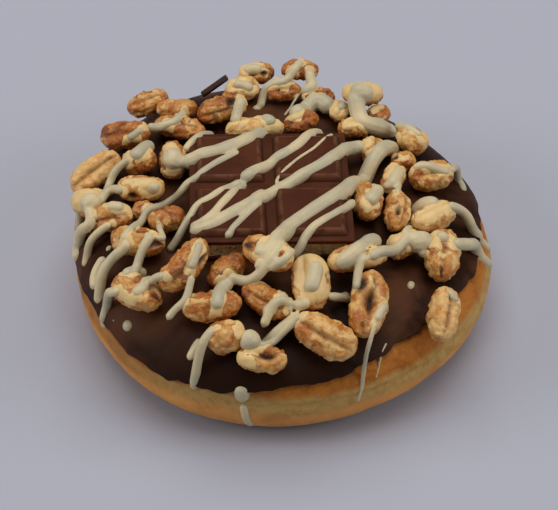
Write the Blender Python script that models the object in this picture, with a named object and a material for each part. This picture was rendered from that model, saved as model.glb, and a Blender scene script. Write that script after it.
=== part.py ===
"""A filled, iced doughnut with a chocolate square, puffed wheat and drizzle."""
import math
import random

import bmesh
import bpy
from mathutils import Vector
from mathutils.bvhtree import BVHTree

# Sizes are in millimetres and become metres in make_object.
MM = 0.001
GAP = 0.35

# Dough: plan radius with slow waves, a flat foot, a belt and a domed top.
DOUGH_RADIUS = 47.5
PLAN_WAVES = ((1, 0.7, 0.6), (2, 0.35, -0.6), (3, 0.8, -0.05))
BELT_HEIGHT = 11.7
FOOT_ROUNDING = 10.8
CROWN_RISE = 13.6
SIDE_POWER = 4.4
CROWN_POWER = 3.3
CROWN_PULL_IN = 1.2
LEAN_X = -0.07
LEAN_Y = 0.01
AROUND = 56
FOOT_ROWS = 6
SIDE_ROWS = 3
CROWN_ROWS = 9
ROW_EASE = 1.5

# Icing: a skin over the crown, its edge as a share of the way up from the belt.
ICING_THICKNESS = 0.9
ICING_EDGE = 0.21
LIP_HEIGHT = 0.55
LIP_WIDTH = 0.035
EDGE_WAVES = ((1, 0.083, -0.054), (2, 0.014, -0.069), (3, -0.012, -0.023),
              (7, 0.006, 0.01), (12, 0.01, 0.006))

# Chocolate square: centre, side, height of its top and how it leans.
BLOCK_X = -1.55
BLOCK_Y = 1.75
BLOCK_SIDE = 35.9
BLOCK_TOP = 34.3
BLOCK_HEIGHT = 7.6
BLOCK_TURN = math.radians(2.45)
BLOCK_LEAN_X = -0.032
BLOCK_LEAN_Y = -0.066
PAD_HEIGHT = 1.4
PAD_LEDGE = 1.1
PAD_GROOVE = 1.6
PAD_SLOPE = 1.5
PAD_SINK = 0.2
WALL = 1.2
ROOF = 1.2
SOLE = 1.1
FILLING_SET_BACK = 0.2
SEAT_REACH = 22.0
SEAT_BLEND = 10.0

# Shard of dark chocolate standing behind the square.
SHARD_PLACE = (-14.8, 38.5, 28.9)
SHARD_LONG = (0.8, 0.45, 0.35)
SHARD_DEEP = (0.0, 0.67, -0.74)
SHARD_LENGTH = 7.5
SHARD_DEPTH = 5.2
SHARD_THICKNESS = 1.3

# Kernels: x, y, lift above the icing, heading in degrees, extra pitch, length, width.
KERNELS = (
    (-35.0, 21.0, 0.0, -9, 0, 11.8, 6.7),
    (-41.0, 9.5, 0.0, 33, 0, 13.0, 7.2),
    (-29.0, 32.5, 0.0, 21, 0, 9.9, 6.2),
    (-23.5, 31.0, 0.0, -4, 0, 9.3, 5.5),
    (-22.5, 24.5, 0.0, -9, 0, 11.8, 5.9),
    (-30.5, 11.5, 0.0, 21, 0, 7.7, 6.4),
    (-24.5, 12.5, 0.0, -85, 0, 9.9, 6.9),
    (-30.5, 2.5, 0.0, 2, 0, 10.3, 6.7),
    (-41.5, -0.5, 0.0, -17, 0, 7.4, 6.9),
    (-37.0, -4.5, 0.0, 1, 0, 9.8, 6.4),
    (-30.0, -3.5, 0.0, 8, 0, 4.9, 4.0),
    (-24.5, -6.5, 0.0, 15, 0, 8.1, 6.2),
    (-30.5, -13.5, 0.0, -19, 0, 12.3, 7.2),
    (-29.5, -26.5, 0.0, -34, 0, 11.8, 7.7),
    (-19.0, -22.0, 1.5, 49, 10, 14.1, 7.4),
    (-10.5, -21.5, 0.0, 44, 0, 9.9, 6.4),
    (-3.5, -20.5, 3.0, -28, 0, 11.6, 7.2),
    (7.0, -25.5, 0.0, -85, 0, 12.4, 8.2),
    (16.5, -18.0, 1.0, 17, 0, 13.2, 6.7),
    (19.0, -27.5, 0.0, -100, 0, 15.5, 8.2),
    (28.0, -11.5, 0.0, 37, 0, 9.0, 6.2),
    (33.5, -2.0, 0.0, 37, 0, 11.3, 6.7),
    (36.5, -13.5, 0.0, -96, 0, 13.1, 7.9),
    (36.0, -28.0, 0.0, -100, 0, 12.6, 6.9),
    (35.0, 10.5, 0.0, 21, 0, 10.3, 7.4),
    (27.0, -1.0, 0.0, -97, 0, 11.5, 6.2),
    (21.0, 0.0, 0.0, -91, 0, 10.7, 6.7),
    (27.0, 8.5, 0.0, -103, 0, 9.4, 5.2),
    (29.0, 15.5, 0.0, 17, 0, 5.5, 4.5),
    (31.5, 23.0, 0.0, -45, 0, 7.7, 6.4),
    (22.0, 18.0, 0.0, -92, 0, 7.9, 5.5),
    (18.0, 26.0, 0.0, 8, 0, 7.3, 5.0),
    (23.5, 32.5, 0.0, 41, 0, 6.5, 4.5),
    (20.0, 34.5, 2.5, 18, 0, 9.9, 5.7),
    (15.0, 32.0, 1.0, -90, 0, 5.8, 4.2),
    (-13.5, 30.5, 0.0, 23, 0, 12.0, 6.7),
    (-8.5, 36.5, 0.0, 21, 0, 8.1, 5.9),
    (-5.0, 43.0, 2.0, 15, 0, 8.5, 5.0),
    (5.5, 42.5, 4.0, 14, 0, 9.0, 5.0),
    (2.0, 38.0, 0.0, 12, 0, 8.2, 5.0),
    (9.5, 37.0, 0.0, 6, 0, 7.8, 4.5),
    (5.0, 27.5, 0.0, 27, 0, 8.5, 4.7),
    (-5.0, 26.0, 0.0, 8, 0, 13.5, 5.9),
    (-13.0, -31.0, 0.0, 5, 0, 12.8, 7.4),
    (-2.5, -29.5, 0.0, -26, 0, 12.0, 6.7),
    (-10.0, -38.5, 0.0, 11, 0, 8.3, 7.2),
    (-4.0, -41.5, 0.0, -4, 0, 10.4, 5.9),
    (10.5, -37.5, 0.0, -27, 0, 14.2, 8.7),
)

# Drizzle strands: half width, then plan points; a third number is a height on the side.
STRANDS = (
    (1.7, (-3, 21.5), (-6.5, 16.5), (-11.5, 13), (-16, 11), (-19, 10), (-21.5, 9.5)),
    (0.85, (-8.5, 12), (-14, 7.5), (-18, 3.5), (-20, 3), (-21.5, 1.5), (-25, 0.5), (-27.5, -3.5),
     (-29, -4.5), (-30.5, -9), (-32.5, -13.5), (-33.5, -15.5)),
    (0.95, (-15, 23), (-17.5, 19), (-20, 15.5), (-21, 13.5)),
    (1.3, (10, 24.5), (5.5, 15.5), (0.5, 10.5), (-2, 8.5), (-5, 5.5), (-8, 3)),
    (0.95, (-7, 2.5), (-12, -5.5), (-15.5, -11), (-19, -12)),
    (1.45, (20.5, 18), (17, 17), (12, 10), (7.5, 6), (4, 3.5), (0.5, 1), (-2.5, -2), (-7, -6),
     (-11.5, -10), (-15.5, -13), (-19, -13)),
    (0.85, (-3.5, -4.5), (-7, -9.5), (-9, -12.5), (-11, -15.5)),
    (0.4, (13, 20), (8.5, 13.5), (5, 10), (1.5, 5.5), (-0.5, 2.5)),
    (0.5, (15.5, 17), (13, 12.5)),
    (0.35, (-3, 0), (-6, -3.5)),
    (1.7, (27.5, 22.5), (22, 14), (17.5, 5.5), (14, -1), (9.5, -5.5), (5, -10), (2, -13.5),
     (-0.5, -19.5), (-2.5, -22.5), (-4, -23.5)),
    (0.95, (16.5, -2.5), (17, -2.5), (14, -7), (10.5, -10), (7.5, -13), (6, -15), (5.5, -16),
     (5, -17), (3, -18)),
    (1.1, (38, -1), (41.5, 0), (44.5, -0.5, 20.5), (47, -1, 17.5), (48.5, -1.5, 14.5)),
    (1.3, (38.5, -13), (42, -10.5), (45, -6, 20), (47, -6, 17), (48.5, -5.5, 13.5)),
    (0.95, (39.5, 10.5), (42, 16.5, 20), (43.5, 15.5, 19.5), (43.5, 12.5, 20)),
    (1.1, (20, -21), (22, -19), (25, -17), (28, -13), (30, -10.5)),
    (0.95, (31.5, -11.5), (32, -13.5), (32.5, -15)),
    (0.85, (30, -18), (29, -20.5)),
    (0.85, (-36.5, -8), (-38, -8.5), (-40.5, -9), (-42.5, -10.5, 23), (-43, -12.5, 21.5)),
    (0.6, (-36.5, -10), (-38, -11.5)),
    (1.1, (-38, -12.5), (-39, -14), (-40, -15.5), (-40.5, -18, 22), (-40, -19.5, 22)),
    (1.1, (-32.5, -15.5), (-32.5, -16.5), (-34, -17), (-36, -17.5), (-38, -19), (-39, -21, 22),
     (-39.5, -22.5, 20.5)),
    (0.95, (-33.5, -28), (-35, -28), (-37, -24.5, 22), (-38, -25.5, 19.5), (-39, -24.5, 15)),
    (0.95, (-27, -14), (-28, -15.5), (-30, -17.5), (-31, -19)),
    (0.85, (-23.5, -27.5), (-26, -26.5), (-27.5, -27)),
    (0.8, (-18, -26.5), (-19.5, -31.5), (-21.5, -32), (-23.5, -33.5)),
    (0.95, (-12.5, -38), (-14.5, -39.5), (-16, -41), (-17, -41.5, 20.5), (-18, -42.5, 15.5)),
    (1, (-16, -35.5), (-17.5, -37.5), (-19, -40, 22)),
    (0.7, (-32.5, -30, 22.5), (-32.5, -30.5, 22)),
    (0.5, (-35.5, -27.5, 21.5), (-35.5, -28, 21)),
    (1.45, (-7.5, -44.5, 20), (-7.5, -45.5, 15)),
    (0.7, (-7.5, -45.5, 15), (-7.5, -46, 12), (-6.5, -45.5, 9), (-6, -44.5, 6)),
    (0.85, (23.5, -30.5), (22, -33), (21, -35)),
    (0.3, (24, -34), (23, -35.5), (22, -38, 18.5), (21, -40, 16.5)),
    (0.85, (16, -24), (14, -25), (11.5, -25.5)),
    (0.85, (16, -25.5), (13.5, -27.5), (11, -29.5)),
    (0.95, (6, 44, 21.5), (2, 38.5), (-1.5, 38), (-3, 37.5), (-3.5, 36), (-4, 34)),
    (1.2, (7.5, 42), (8.5, 38), (8, 38), (6, 36.5)),
    (1.9, (13, 31.5), (10, 35), (6.5, 32.5), (4, 28)),
    (0.35, (5.5, 37), (1.5, 31.5)),
    (0.85, (-3.5, 34), (-6, 34)),
    (0.85, (-31, 20), (-32.5, 18.5), (-34.5, 18)),
    (0.85, (-10.5, 37), (-15, 42.5, 23), (-17.5, 36.5), (-19, 30.5)),
    (1.2, (-8, 42.5), (-6, 43.5), (-3.5, 43.5)),
    (0.95, (-21.5, 27.5), (-23.5, 23.5), (-26, 23), (-27.5, 22), (-30, 21)),
    (1.45, (-29, 16.5), (-31, 11.5), (-33, 9.5)),
    (0.85, (-33, 9.5), (-35, 9), (-37.5, 7.5), (-39, 0.5), (-40.5, -2)),
    (0.95, (-34, 0), (-37.5, 2.5), (-40, -2)),
    (1.55, (-28, 1.5), (-27, 1), (-29, 0)),
    (2.3, (-41, -1.5), (-42, -2.5)),
    (1.2, (-37.5, -4.5), (-35, -5.5), (-33.5, -5.5)),
    (2.15, (-24, 13), (-23.5, 9.5), (-24, 8)),
    (1.45, (-23, 9), (-20.5, 10.5)),
    (0.85, (-43.5, -2), (-44.5, -0.5, 22), (-45.5, -3, 20.5), (-45.5, -5.5, 20.5)),
    (1.1, (-42, -3), (-41, -7), (-42, -8), (-44.5, -5.5, 21.5), (-45.5, -6.5, 19.5), (-45, -9, 19.5)),
    (1.45, (-45.5, -6, 20.5), (-45, -9, 19.5)),
    (0.7, (-26, -9.5), (-25, -14), (-24.5, -15), (-26.5, -15)),
    (1.2, (-33, -24), (-31, -21.5), (-28.5, -20.5)),
    (1.1, (-27, -24), (-29, -28.5), (-30.5, -30)),
    (0.85, (-8, 3), (-10, 1.5), (-15, -4), (-18, -6), (-19, -8.5), (-20.5, -10), (-22, -12),
     (-24, -13.5)),
    (0.95, (-16.5, -20), (-17.5, -23.5), (-18.5, -26)),
    (0.95, (-3, -20), (-4, -22.5), (-4, -23.5)),
    (0.85, (-3, -24), (-4, -24.5), (-4, -26)),
    (0.85, (3.5, -21.5), (1.5, -25), (-0.5, -25.5), (-2, -26)),
    (0.7, (-3, -24), (-1, -25), (1.5, -25)),
    (1.1, (1.5, -19.5), (-1.5, -24.5), (-4.5, -27.5), (-7.5, -24.5), (-10.5, -23)),
    (1.45, (-9.5, -23), (-12, -26.5), (-12.5, -32.5), (-13, -34)),
    (0.85, (0, -31), (-1.5, -32.5), (-3, -33)),
    (0.95, (1, -29), (1.5, -30.5)),
    (0.95, (3.5, -31.5), (0.5, -31), (-1.5, -33), (-3, -35.5)),
    (0.95, (5.5, -35), (3.5, -35.5), (0.5, -35.5), (-2.5, -37.5)),
    (1.1, (7, -31), (5.5, -32), (3.5, -30.5)),
    (0.7, (2, -32.5), (3.5, -32)),
    (2.5, (-5, -36), (-3.5, -37)),
    (1.7, (8.5, -23), (8, -27), (7, -30)),
    (1.7, (22, -12.5), (18, -18.5), (14.5, -22), (12.5, -22)),
    (0.85, (20, -21), (18, -21.5), (17, -27.5)),
    (2.15, (28.5, -13.5), (31.5, -11.5), (34.5, -12.5)),
    (1.8, (31, 0.5), (33.5, 1.5), (36.5, 0)),
    (0.85, (30.5, -1.5), (29, -8), (28, -12)),
    (0.7, (37, -24), (38.5, -26), (39.5, -26.5)),
    (1.3, (35, -10.5), (38, -11.5)),
    (0.5, (21, -35), (20, -38), (18.5, -41, 17), (17.5, -43, 11.5)),
    (0.7, (27.5, 7.5), (27.5, 5), (27, 1)),
    (1.55, (23, 3.5), (21, -1.5), (20, -3)),
    (1.45, (28, 11), (26.5, 6.5), (25.5, 4.5)),
    (0.85, (26.5, 5), (24, 5.5)),
    (0.95, (31, 10), (33.5, 10.5), (37, 10), (39.5, 10.5)),
    (1.9, (18, 33.5), (20, 26.5), (23.5, 27), (27.5, 30)),
    (2.3, (17, 33), (20, 33.5), (22.5, 33.5)),
    (1.45, (15, 33), (15, 30)),
    (0.95, (28, 27.5), (31, 23.5), (33.5, 21.5)),
    (1.45, (0, 39), (0.5, 38.5)),
    (1.2, (-10.5, 36.5), (-8, 36.5), (-5.5, 36)),
    (1.2, (-8, 31), (-9, 28.5), (-10, 24.5)),
    (1.55, (-3.5, 26.5), (-0.5, 24)),
)
STRAND_STEP = 3.4
STRAND_SIDES = 5
STRAND_FLATNESS = 0.62
STRAND_SINK = 0.3
THINNEST_SOLID_STRAND = 0.5
STRAND_END = 0.75
STRAND_TIP = 0.5

KERNEL_AROUND = 9
KERNEL_ROWS = 6
CREASE_DEPTH = 0.2
CREASE_WIDTH = 0.5
KERNEL_BLUNTNESS = 2.8
CREASE_SWING = 0.7
BEND_SHARE = 0.05

# How kernels settle: rounds, the share of a kernel its ends are tried at, and the largest steps.
SETTLE_ROUNDS = 60
FREE_ROUNDS = 60
END_SHARE = 0.4
LEAST_RISE = 0.35
SINK_STEP = 0.15
PUSH_STEP = 1.0
SKIN_ROWS = 40


def wave(waves, angle):
    """Sum of slow waves around the doughnut."""
    return sum(c * math.cos(n * angle) + s * math.sin(n * angle) for n, c, s in waves)


def block_local(x, y):
    """Plan position in the square's own axes."""
    dx, dy = x - BLOCK_X, y - BLOCK_Y
    c, s = math.cos(BLOCK_TURN), math.sin(BLOCK_TURN)
    return c * dx + s * dy, c * dy - s * dx


def block_point(lx, ly, down):
    """Point of the square at local plan position, so far below its top plane."""
    c, s = math.cos(BLOCK_TURN), math.sin(BLOCK_TURN)
    z = BLOCK_TOP + BLOCK_LEAN_X * lx + BLOCK_LEAN_Y * ly - down
    return Vector((BLOCK_X + c * lx - s * ly, BLOCK_Y + s * lx + c * ly, z))


def smooth(share):
    """Smooth step between 0 and 1."""
    share = min(max(share, 0.0), 1.0)
    return share * share * (3 - 2 * share)


def foot_point(angle, share):
    """Dough between its flat foot (0) and its belt (1)."""
    turn = share * math.pi / 2
    radius = DOUGH_RADIUS + wave(PLAN_WAVES, angle)
    r = radius - FOOT_ROUNDING * (1 - math.sin(turn))
    return Vector((r * math.cos(angle), r * math.sin(angle), BELT_HEIGHT * (1 - math.cos(turn))))


def crown_profile(angle, share):
    """Radius, height and how far up the crown, before it leans."""
    turn = min(max(share, 0.0), 1.0) * math.pi / 2
    up = math.sin(turn) ** (2 / CROWN_POWER)
    radius = DOUGH_RADIUS + wave(PLAN_WAVES, angle) - CROWN_PULL_IN * up
    return radius * max(math.cos(turn), 0.0) ** (2 / SIDE_POWER), CROWN_RISE * up, up


def crown_point(angle, share, proud):
    """Crown between the belt (0) and the middle of the top (1), so far proud of the dough."""
    r, rise, up = crown_profile(angle, share)
    r0, rise0, _ = crown_profile(angle, share - 0.01)
    r1, rise1, _ = crown_profile(angle, share + 0.01)
    length = math.hypot(rise1 - rise0, r0 - r1)
    out, lift = (rise1 - rise0) / length, (r0 - r1) / length
    if share >= 1:
        out, lift = 0.0, 1.0
    r += proud * out
    x, y = r * math.cos(angle), r * math.sin(angle)
    z = BELT_HEIGHT + rise + (LEAN_X * x + LEAN_Y * y) * up
    lx, ly = block_local(x, y)
    beyond = (lx ** 4 + ly ** 4) ** 0.25 - SEAT_REACH
    seat = block_point(lx, ly, BLOCK_HEIGHT + GAP + GAP + ICING_THICKNESS).z
    z += (seat - z) * (1 - smooth(beyond / SEAT_BLEND))
    return Vector((x, y, z + proud * lift))


def icing_edge(angle):
    """Share of the crown at which the icing ends."""
    return ICING_EDGE + wave(EDGE_WAVES, angle)


def above_edge(angle, share, proud):
    """Crown between the icing's edge (0) and the middle of the top (1)."""
    edge = icing_edge(angle)
    return crown_point(angle, edge + (1 - edge) * (1 - (1 - share) ** ROW_EASE), proud)


def skin_profile(angle):
    """Outer face of the icing at one angle, as radius and height."""
    rows = [crown_point(angle, 1 - (1 - row / SKIN_ROWS) ** ROW_EASE, GAP + ICING_THICKNESS)
            for row in range(SKIN_ROWS + 1)]
    return [(math.hypot(point.x, point.y), point.z) for point in rows]


def make_material(name, color, roughness):
    """Plain Principled material."""
    material = bpy.data.materials.new(name)
    material.use_nodes = True
    shader = material.node_tree.nodes["Principled BSDF"]
    shader.inputs["Base Color"].default_value = (*color, 1.0)
    shader.inputs["Roughness"].default_value = roughness
    return material


def make_object(name, points, faces, material):
    """Object from points in millimetres."""
    mesh = bpy.data.meshes.new(name)
    mesh.from_pydata([Vector(point) * MM for point in points], [], faces)
    mesh.validate()
    if material:
        mesh.materials.append(material)
    made = bpy.data.objects.new(name, mesh)
    bpy.context.scene.collection.objects.link(made)
    return made


def loft(name, tip, rings, end_tip, material):
    """Closed body over rings of equal length between two tips."""
    count = len(rings[0])
    points = [tip]
    for ring in rings:
        points.extend(ring)
    points.append(end_tip)
    last = len(points) - 1
    faces = []
    for i in range(count):
        j = (i + 1) % count
        faces.append((0, 1 + j, 1 + i))
        for row in range(len(rings) - 1):
            low, high = 1 + row * count, 1 + (row + 1) * count
            faces.append((low + i, low + j, high + j))
            faces.append((low + i, high + j, high + i))
        top = 1 + (len(rings) - 1) * count
        faces.append((top + i, top + j, last))
    return make_object(name, points, faces, material)


def angles():
    """Directions around the doughnut."""
    return [2 * math.pi * i / AROUND for i in range(AROUND)]


def make_dough(material):
    """Dough body with a flat foot, a belt and a crown under the icing."""
    rings = []
    for row in range(FOOT_ROWS):
        rings.append([foot_point(a, row / FOOT_ROWS) for a in angles()])
    for row in range(SIDE_ROWS):
        rings.append([crown_point(a, icing_edge(a) * row / SIDE_ROWS, 0) for a in angles()])
    for row in range(CROWN_ROWS):
        rings.append([above_edge(a, row / CROWN_ROWS, 0) for a in angles()])
    return loft("dough", (0, 0, 0), rings, crown_point(0, 1, 0), material)


def make_icing(material):
    """Icing skin: its inner face down from the top, a rounded lip and its outer face."""
    def ring(share, proud):
        return [above_edge(a, share, proud) for a in angles()]
    inner, outer = GAP, GAP + ICING_THICKNESS
    shares = [row / CROWN_ROWS for row in range(CROWN_ROWS)]
    rings = [ring(share, inner) for share in reversed(shares)]
    rings.append(ring(0.0, GAP + ICING_THICKNESS * LIP_HEIGHT))
    rings.append(ring(LIP_WIDTH, outer))
    rings.extend(ring(share, outer) for share in shares[1:])
    return loft("icing", crown_point(0, 1, inner), rings, crown_point(0, 1, outer), material)


def frustum(name, low, high, material=None):
    """Body between two rectangles of the square's own axes: x0, x1, y0, y1, down."""
    def corners(box):
        x0, x1, y0, y1, down = box
        return [block_point(x, y, down) for x, y in ((x0, y0), (x1, y0), (x1, y1), (x0, y1))]
    faces = [(3, 2, 1, 0), (4, 5, 6, 7), (0, 1, 5, 4), (1, 2, 6, 5), (2, 3, 7, 6), (3, 0, 4, 7)]
    return make_object(name, corners(low) + corners(high), faces, material)


def combine(target, pieces, operation):
    """Boolean of a body with a collection of pieces, which are then removed."""
    group = bpy.data.collections.new("pieces")
    bpy.context.scene.collection.children.link(group)
    for piece in pieces:
        bpy.context.scene.collection.objects.unlink(piece)
        group.objects.link(piece)
    modifier = target.modifiers.new("combine", "BOOLEAN")
    modifier.operation = operation
    modifier.operand_type = "COLLECTION"
    modifier.collection = group
    modifier.solver = "EXACT"
    bpy.context.view_layer.objects.active = target
    bpy.ops.object.modifier_apply(modifier=modifier.name)
    for piece in list(group.objects):
        bpy.data.objects.remove(piece)
    bpy.data.collections.remove(group)


def keep_largest_body(target):
    """Fill hollows that fusing sealed and drop loose scraps, so that one closed body is left."""
    mesh = bmesh.new()
    mesh.from_mesh(target.data)
    left = set(mesh.faces)
    bodies = []
    while left:
        body, reached = [], [left.pop()]
        while reached:
            face = reached.pop()
            body.append(face)
            near = {other for edge in face.edges if len(edge.link_faces) == 2 for other in edge.link_faces}
            near &= left
            left -= near
            reached.extend(near)
        bodies.append(body)
    bodies.sort(key=len)
    for body in bodies[:-1]:
        bmesh.ops.delete(mesh, geom=body, context="FACES")
    mesh.to_mesh(target.data)
    mesh.free()


def make_block_shell(material):
    """Milk-chocolate shell with four pads and a pocket open at the front."""
    half = BLOCK_SIDE / 2
    shell = frustum("block_shell", (-half, half, -half, half, BLOCK_HEIGHT),
                    (-half, half, -half, half, PAD_HEIGHT), material)
    pads = []
    for x0, x1 in ((-half + PAD_LEDGE, -PAD_GROOVE / 2), (PAD_GROOVE / 2, half - PAD_LEDGE)):
        for y0, y1 in ((-half + PAD_LEDGE, -PAD_GROOVE / 2), (PAD_GROOVE / 2, half - PAD_LEDGE)):
            high = (x0 + PAD_SLOPE, x1 - PAD_SLOPE, y0 + PAD_SLOPE, y1 - PAD_SLOPE, 0.0)
            pads.append(frustum("pad", (x0, x1, y0, y1, PAD_HEIGHT + PAD_SINK), high))
    combine(shell, pads, "UNION")
    pocket = frustum("pocket", (-half + WALL, half - WALL, -half - 1, half - WALL, BLOCK_HEIGHT - SOLE),
                     (-half + WALL, half - WALL, -half - 1, half - WALL, PAD_HEIGHT + ROOF))
    combine(shell, [pocket], "DIFFERENCE")
    return shell


def make_block_filling(material):
    """Pale filling that shows at the broken front of the square."""
    side = BLOCK_SIDE / 2 - WALL - GAP
    front = -BLOCK_SIDE / 2 + FILLING_SET_BACK
    low = (-side, side, front, side, BLOCK_HEIGHT - SOLE - GAP)
    high = (-side, side, front, side, PAD_HEIGHT + ROOF + GAP)
    return frustum("block_filling", low, high, material)


def make_shard(material):
    """Thin slab of dark chocolate leaning back and to the right."""
    long = Vector(SHARD_LONG).normalized()
    deep = (Vector(SHARD_DEEP) - long * long.dot(Vector(SHARD_DEEP))).normalized()
    thick = long.cross(deep)
    points = []
    for z in (-SHARD_LENGTH / 2, SHARD_LENGTH / 2):
        for x, y in ((-1, -1), (1, -1), (1, 1), (-1, 1)):
            out = deep * x * SHARD_DEPTH / 2 + thick * y * SHARD_THICKNESS / 2
            points.append(Vector(SHARD_PLACE) + long * z + out)
    faces = [(3, 2, 1, 0), (4, 5, 6, 7), (0, 1, 5, 4), (1, 2, 6, 5), (2, 3, 7, 6), (3, 0, 4, 7)]
    return make_object("chocolate_shard", points, faces, material)


def skin_gap(point, profiles):
    """Distance outside the icing and the direction straight out of it."""
    angle = math.atan2(point.y, point.x)
    key = round(angle * AROUND / math.pi)
    if key not in profiles:
        profiles[key] = skin_profile(key * math.pi / AROUND)
    profile = profiles[key]
    radius = math.hypot(point.x, point.y)
    best = min(range(len(profile)), key=lambda i: math.dist(profile[i], (radius, point.z)))
    low, high = profile[max(best - 1, 0)], profile[min(best + 1, len(profile) - 1)]
    length = math.dist(low, high)
    out, lift = (high[1] - low[1]) / length, (low[0] - high[0]) / length
    gap = (radius - profile[best][0]) * out + (point.z - profile[best][1]) * lift
    return gap, Vector((out * math.cos(angle), out * math.sin(angle), lift))


def block_gap(point):
    """Distance outside the square and the direction straight out of it."""
    lx, ly = block_local(point.x, point.y)
    middle = block_point(lx, ly, BLOCK_HEIGHT / 2).z
    half = BLOCK_SIDE / 2
    over = (abs(lx) - half, abs(ly) - half, abs(point.z - middle) - BLOCK_HEIGHT / 2)
    c, s = math.cos(BLOCK_TURN), math.sin(BLOCK_TURN)
    axes = (Vector((c, s, 0)) * math.copysign(1, lx), Vector((-s, c, 0)) * math.copysign(1, ly),
            Vector((0, 0, 1)) * math.copysign(1, point.z - middle))
    if max(over) <= 0:
        best = over.index(max(over))
        return over[best], axes[best]
    out = sum((axis * max(amount, 0) for axis, amount in zip(axes, over)), Vector())
    return out.length, out.normalized()


def spine(kernel):
    """Points along a kernel's middle line between the centres of its round ends."""
    half = kernel["axis"] * (kernel["length"] / 2 - kernel["radius"])
    return [kernel["place"] + half * share for share in (-1, -0.5, 0, 0.5, 1)]


def lay_kernels():
    """Kernels set on the icing and eased apart until each keeps its gap."""
    profiles = {}
    kernels = []
    for x, y, lift, heading, pitch, length, width in KERNELS:
        flat = Vector((math.cos(math.radians(heading)), math.sin(math.radians(heading)), 0))
        ends = []
        for share in (-END_SHARE, 0.0, END_SHARE):
            spot = Vector((x, y, BLOCK_TOP)) + flat * length * share
            for _ in range(6):
                gap, out = skin_gap(spot, profiles)
                spot.z -= (gap - width / 2) / max(out.z, LEAST_RISE)
            ends.append(spot.z)
        slope = math.atan2(ends[2] - ends[0], length * 2 * END_SHARE) + math.radians(pitch)
        axis = flat * math.cos(slope) + Vector((0, 0, math.sin(slope)))
        place = Vector((x, y, max(ends[1], (ends[0] + ends[2]) / 2) + lift))
        kernels.append({"place": place, "axis": axis, "length": length, "radius": width / 2,
                        "free": lift > 0})
    for turn in range(SETTLE_ROUNDS + FREE_ROUNDS):
        for kernel in kernels:
            gaps = [skin_gap(point, profiles) for point in spine(kernel)]
            gap, out = min(gaps, key=lambda item: item[0])
            spare = gap - kernel["radius"] - GAP
            if spare < 0 or (turn < SETTLE_ROUNDS and not kernel["free"]):
                kernel["place"] -= out * max(min(spare, SINK_STEP), -PUSH_STEP)
            gap, out = min((block_gap(point) for point in spine(kernel)), key=lambda item: item[0])
            spare = gap - kernel["radius"] - GAP
            if spare < 0:
                kernel["place"] -= out * max(spare, -PUSH_STEP)
        for i, one in enumerate(kernels):
            for two in kernels[i + 1:]:
                if (one["place"] - two["place"]).length > (one["length"] + two["length"]) / 2 + GAP:
                    continue
                pairs = [(a - b) for a in spine(one) for b in spine(two)]
                apart = min(pairs, key=lambda item: item.length)
                spare = apart.length - one["radius"] - two["radius"] - GAP
                if spare < 0 and apart.length > 0:
                    push = apart.normalized() * max(spare, -PUSH_STEP) / 2
                    one["place"] -= push
                    two["place"] += push
    return kernels


def kernel_point(kernel, number, along, around):
    """Surface point of a kernel; along runs from -1 to 1 and around in radians."""
    chance = random.Random(number)
    phases = [chance.uniform(0, 2 * math.pi) for _ in range(4)]
    crease_side = math.pi / 2 + chance.uniform(-CREASE_SWING, CREASE_SWING)
    bend = chance.uniform(-BEND_SHARE, BEND_SHARE) * kernel["length"]
    axis = kernel["axis"]
    side = Vector((0, 0, 1)).cross(axis).normalized()
    up = axis.cross(side)
    fullness = (1 - abs(along) ** KERNEL_BLUNTNESS) ** 0.5
    swell = 1 - 0.02 * (1 + math.sin(2.2 * along + phases[0]))
    swell -= 0.02 * (1 + math.sin(2 * around + 2 * along + phases[1]))
    swell -= 0.015 * (1 + math.sin(3 * around - 3 * along + phases[2]))
    off = (around - crease_side + math.pi) % (2 * math.pi) - math.pi
    swell -= CREASE_DEPTH * math.exp(-(off / CREASE_WIDTH) ** 2) * (1 - along ** 4)
    reach = (kernel["radius"] - abs(bend) / 2) * fullness * swell
    middle = kernel["place"] + axis * along * kernel["length"] / 2 + side * bend * (0.5 - along * along)
    return middle + (side * math.cos(around) + up * math.sin(around)) * reach


def make_kernel(kernel, number, material):
    """One puffed kernel."""
    rings = []
    for row in range(1, KERNEL_ROWS):
        along = -math.cos(math.pi * row / KERNEL_ROWS)
        rings.append([kernel_point(kernel, number, along, 2 * math.pi * i / KERNEL_AROUND)
                      for i in range(KERNEL_AROUND)])
    tips = (kernel_point(kernel, number, -1, 0), kernel_point(kernel, number, 1, 0))
    return loft(f"kernel_{number:02d}", tips[0], rings, tips[1], material)


def sample_route(points):
    """Even samples of a smooth curve through a strand's points."""
    knots = [Vector((point[0], point[1], point[2] if len(point) > 2 else -1.0)) for point in points]
    ends = [knots[0] * 2 - knots[1]] + knots + [knots[-1] * 2 - knots[-2]]
    samples = []
    for i in range(len(knots) - 1):
        a, b, c, d = ends[i:i + 4]
        count = max(2, round((c.xy - b.xy).length / STRAND_STEP) + (c.z > 0))
        for step in range(count):
            t = step / count
            curve = (2 * b + (c - a) * t + (2 * a - 5 * b + 4 * c - d) * t * t
                     + (3 * b - a - 3 * c + d) * t ** 3) / 2
            curve.z = b.z + (c.z - b.z) * t if min(b.z, c.z) > 0 else -1.0
            samples.append(curve)
    samples.append(knots[-1])
    return samples


def drop(sample, trees):
    """Highest node under a sample, or the outermost at its height on the side."""
    if sample.z > 0:
        out = Vector((sample.x, sample.y, 0)).normalized()
        start, way = Vector((0, 0, sample.z)) + out * 2 * DOUGH_RADIUS, -out
    else:
        start, way = Vector((sample.x, sample.y, 2 * DOUGH_RADIUS)), Vector((0, 0, -1))
    best = None
    for name, tree in trees.items():
        place, normal, _, distance = tree.ray_cast(start * MM, way)
        if place and (best is None or distance < best[3]):
            best = (place / MM, normal, name, distance)
    return best


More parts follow.
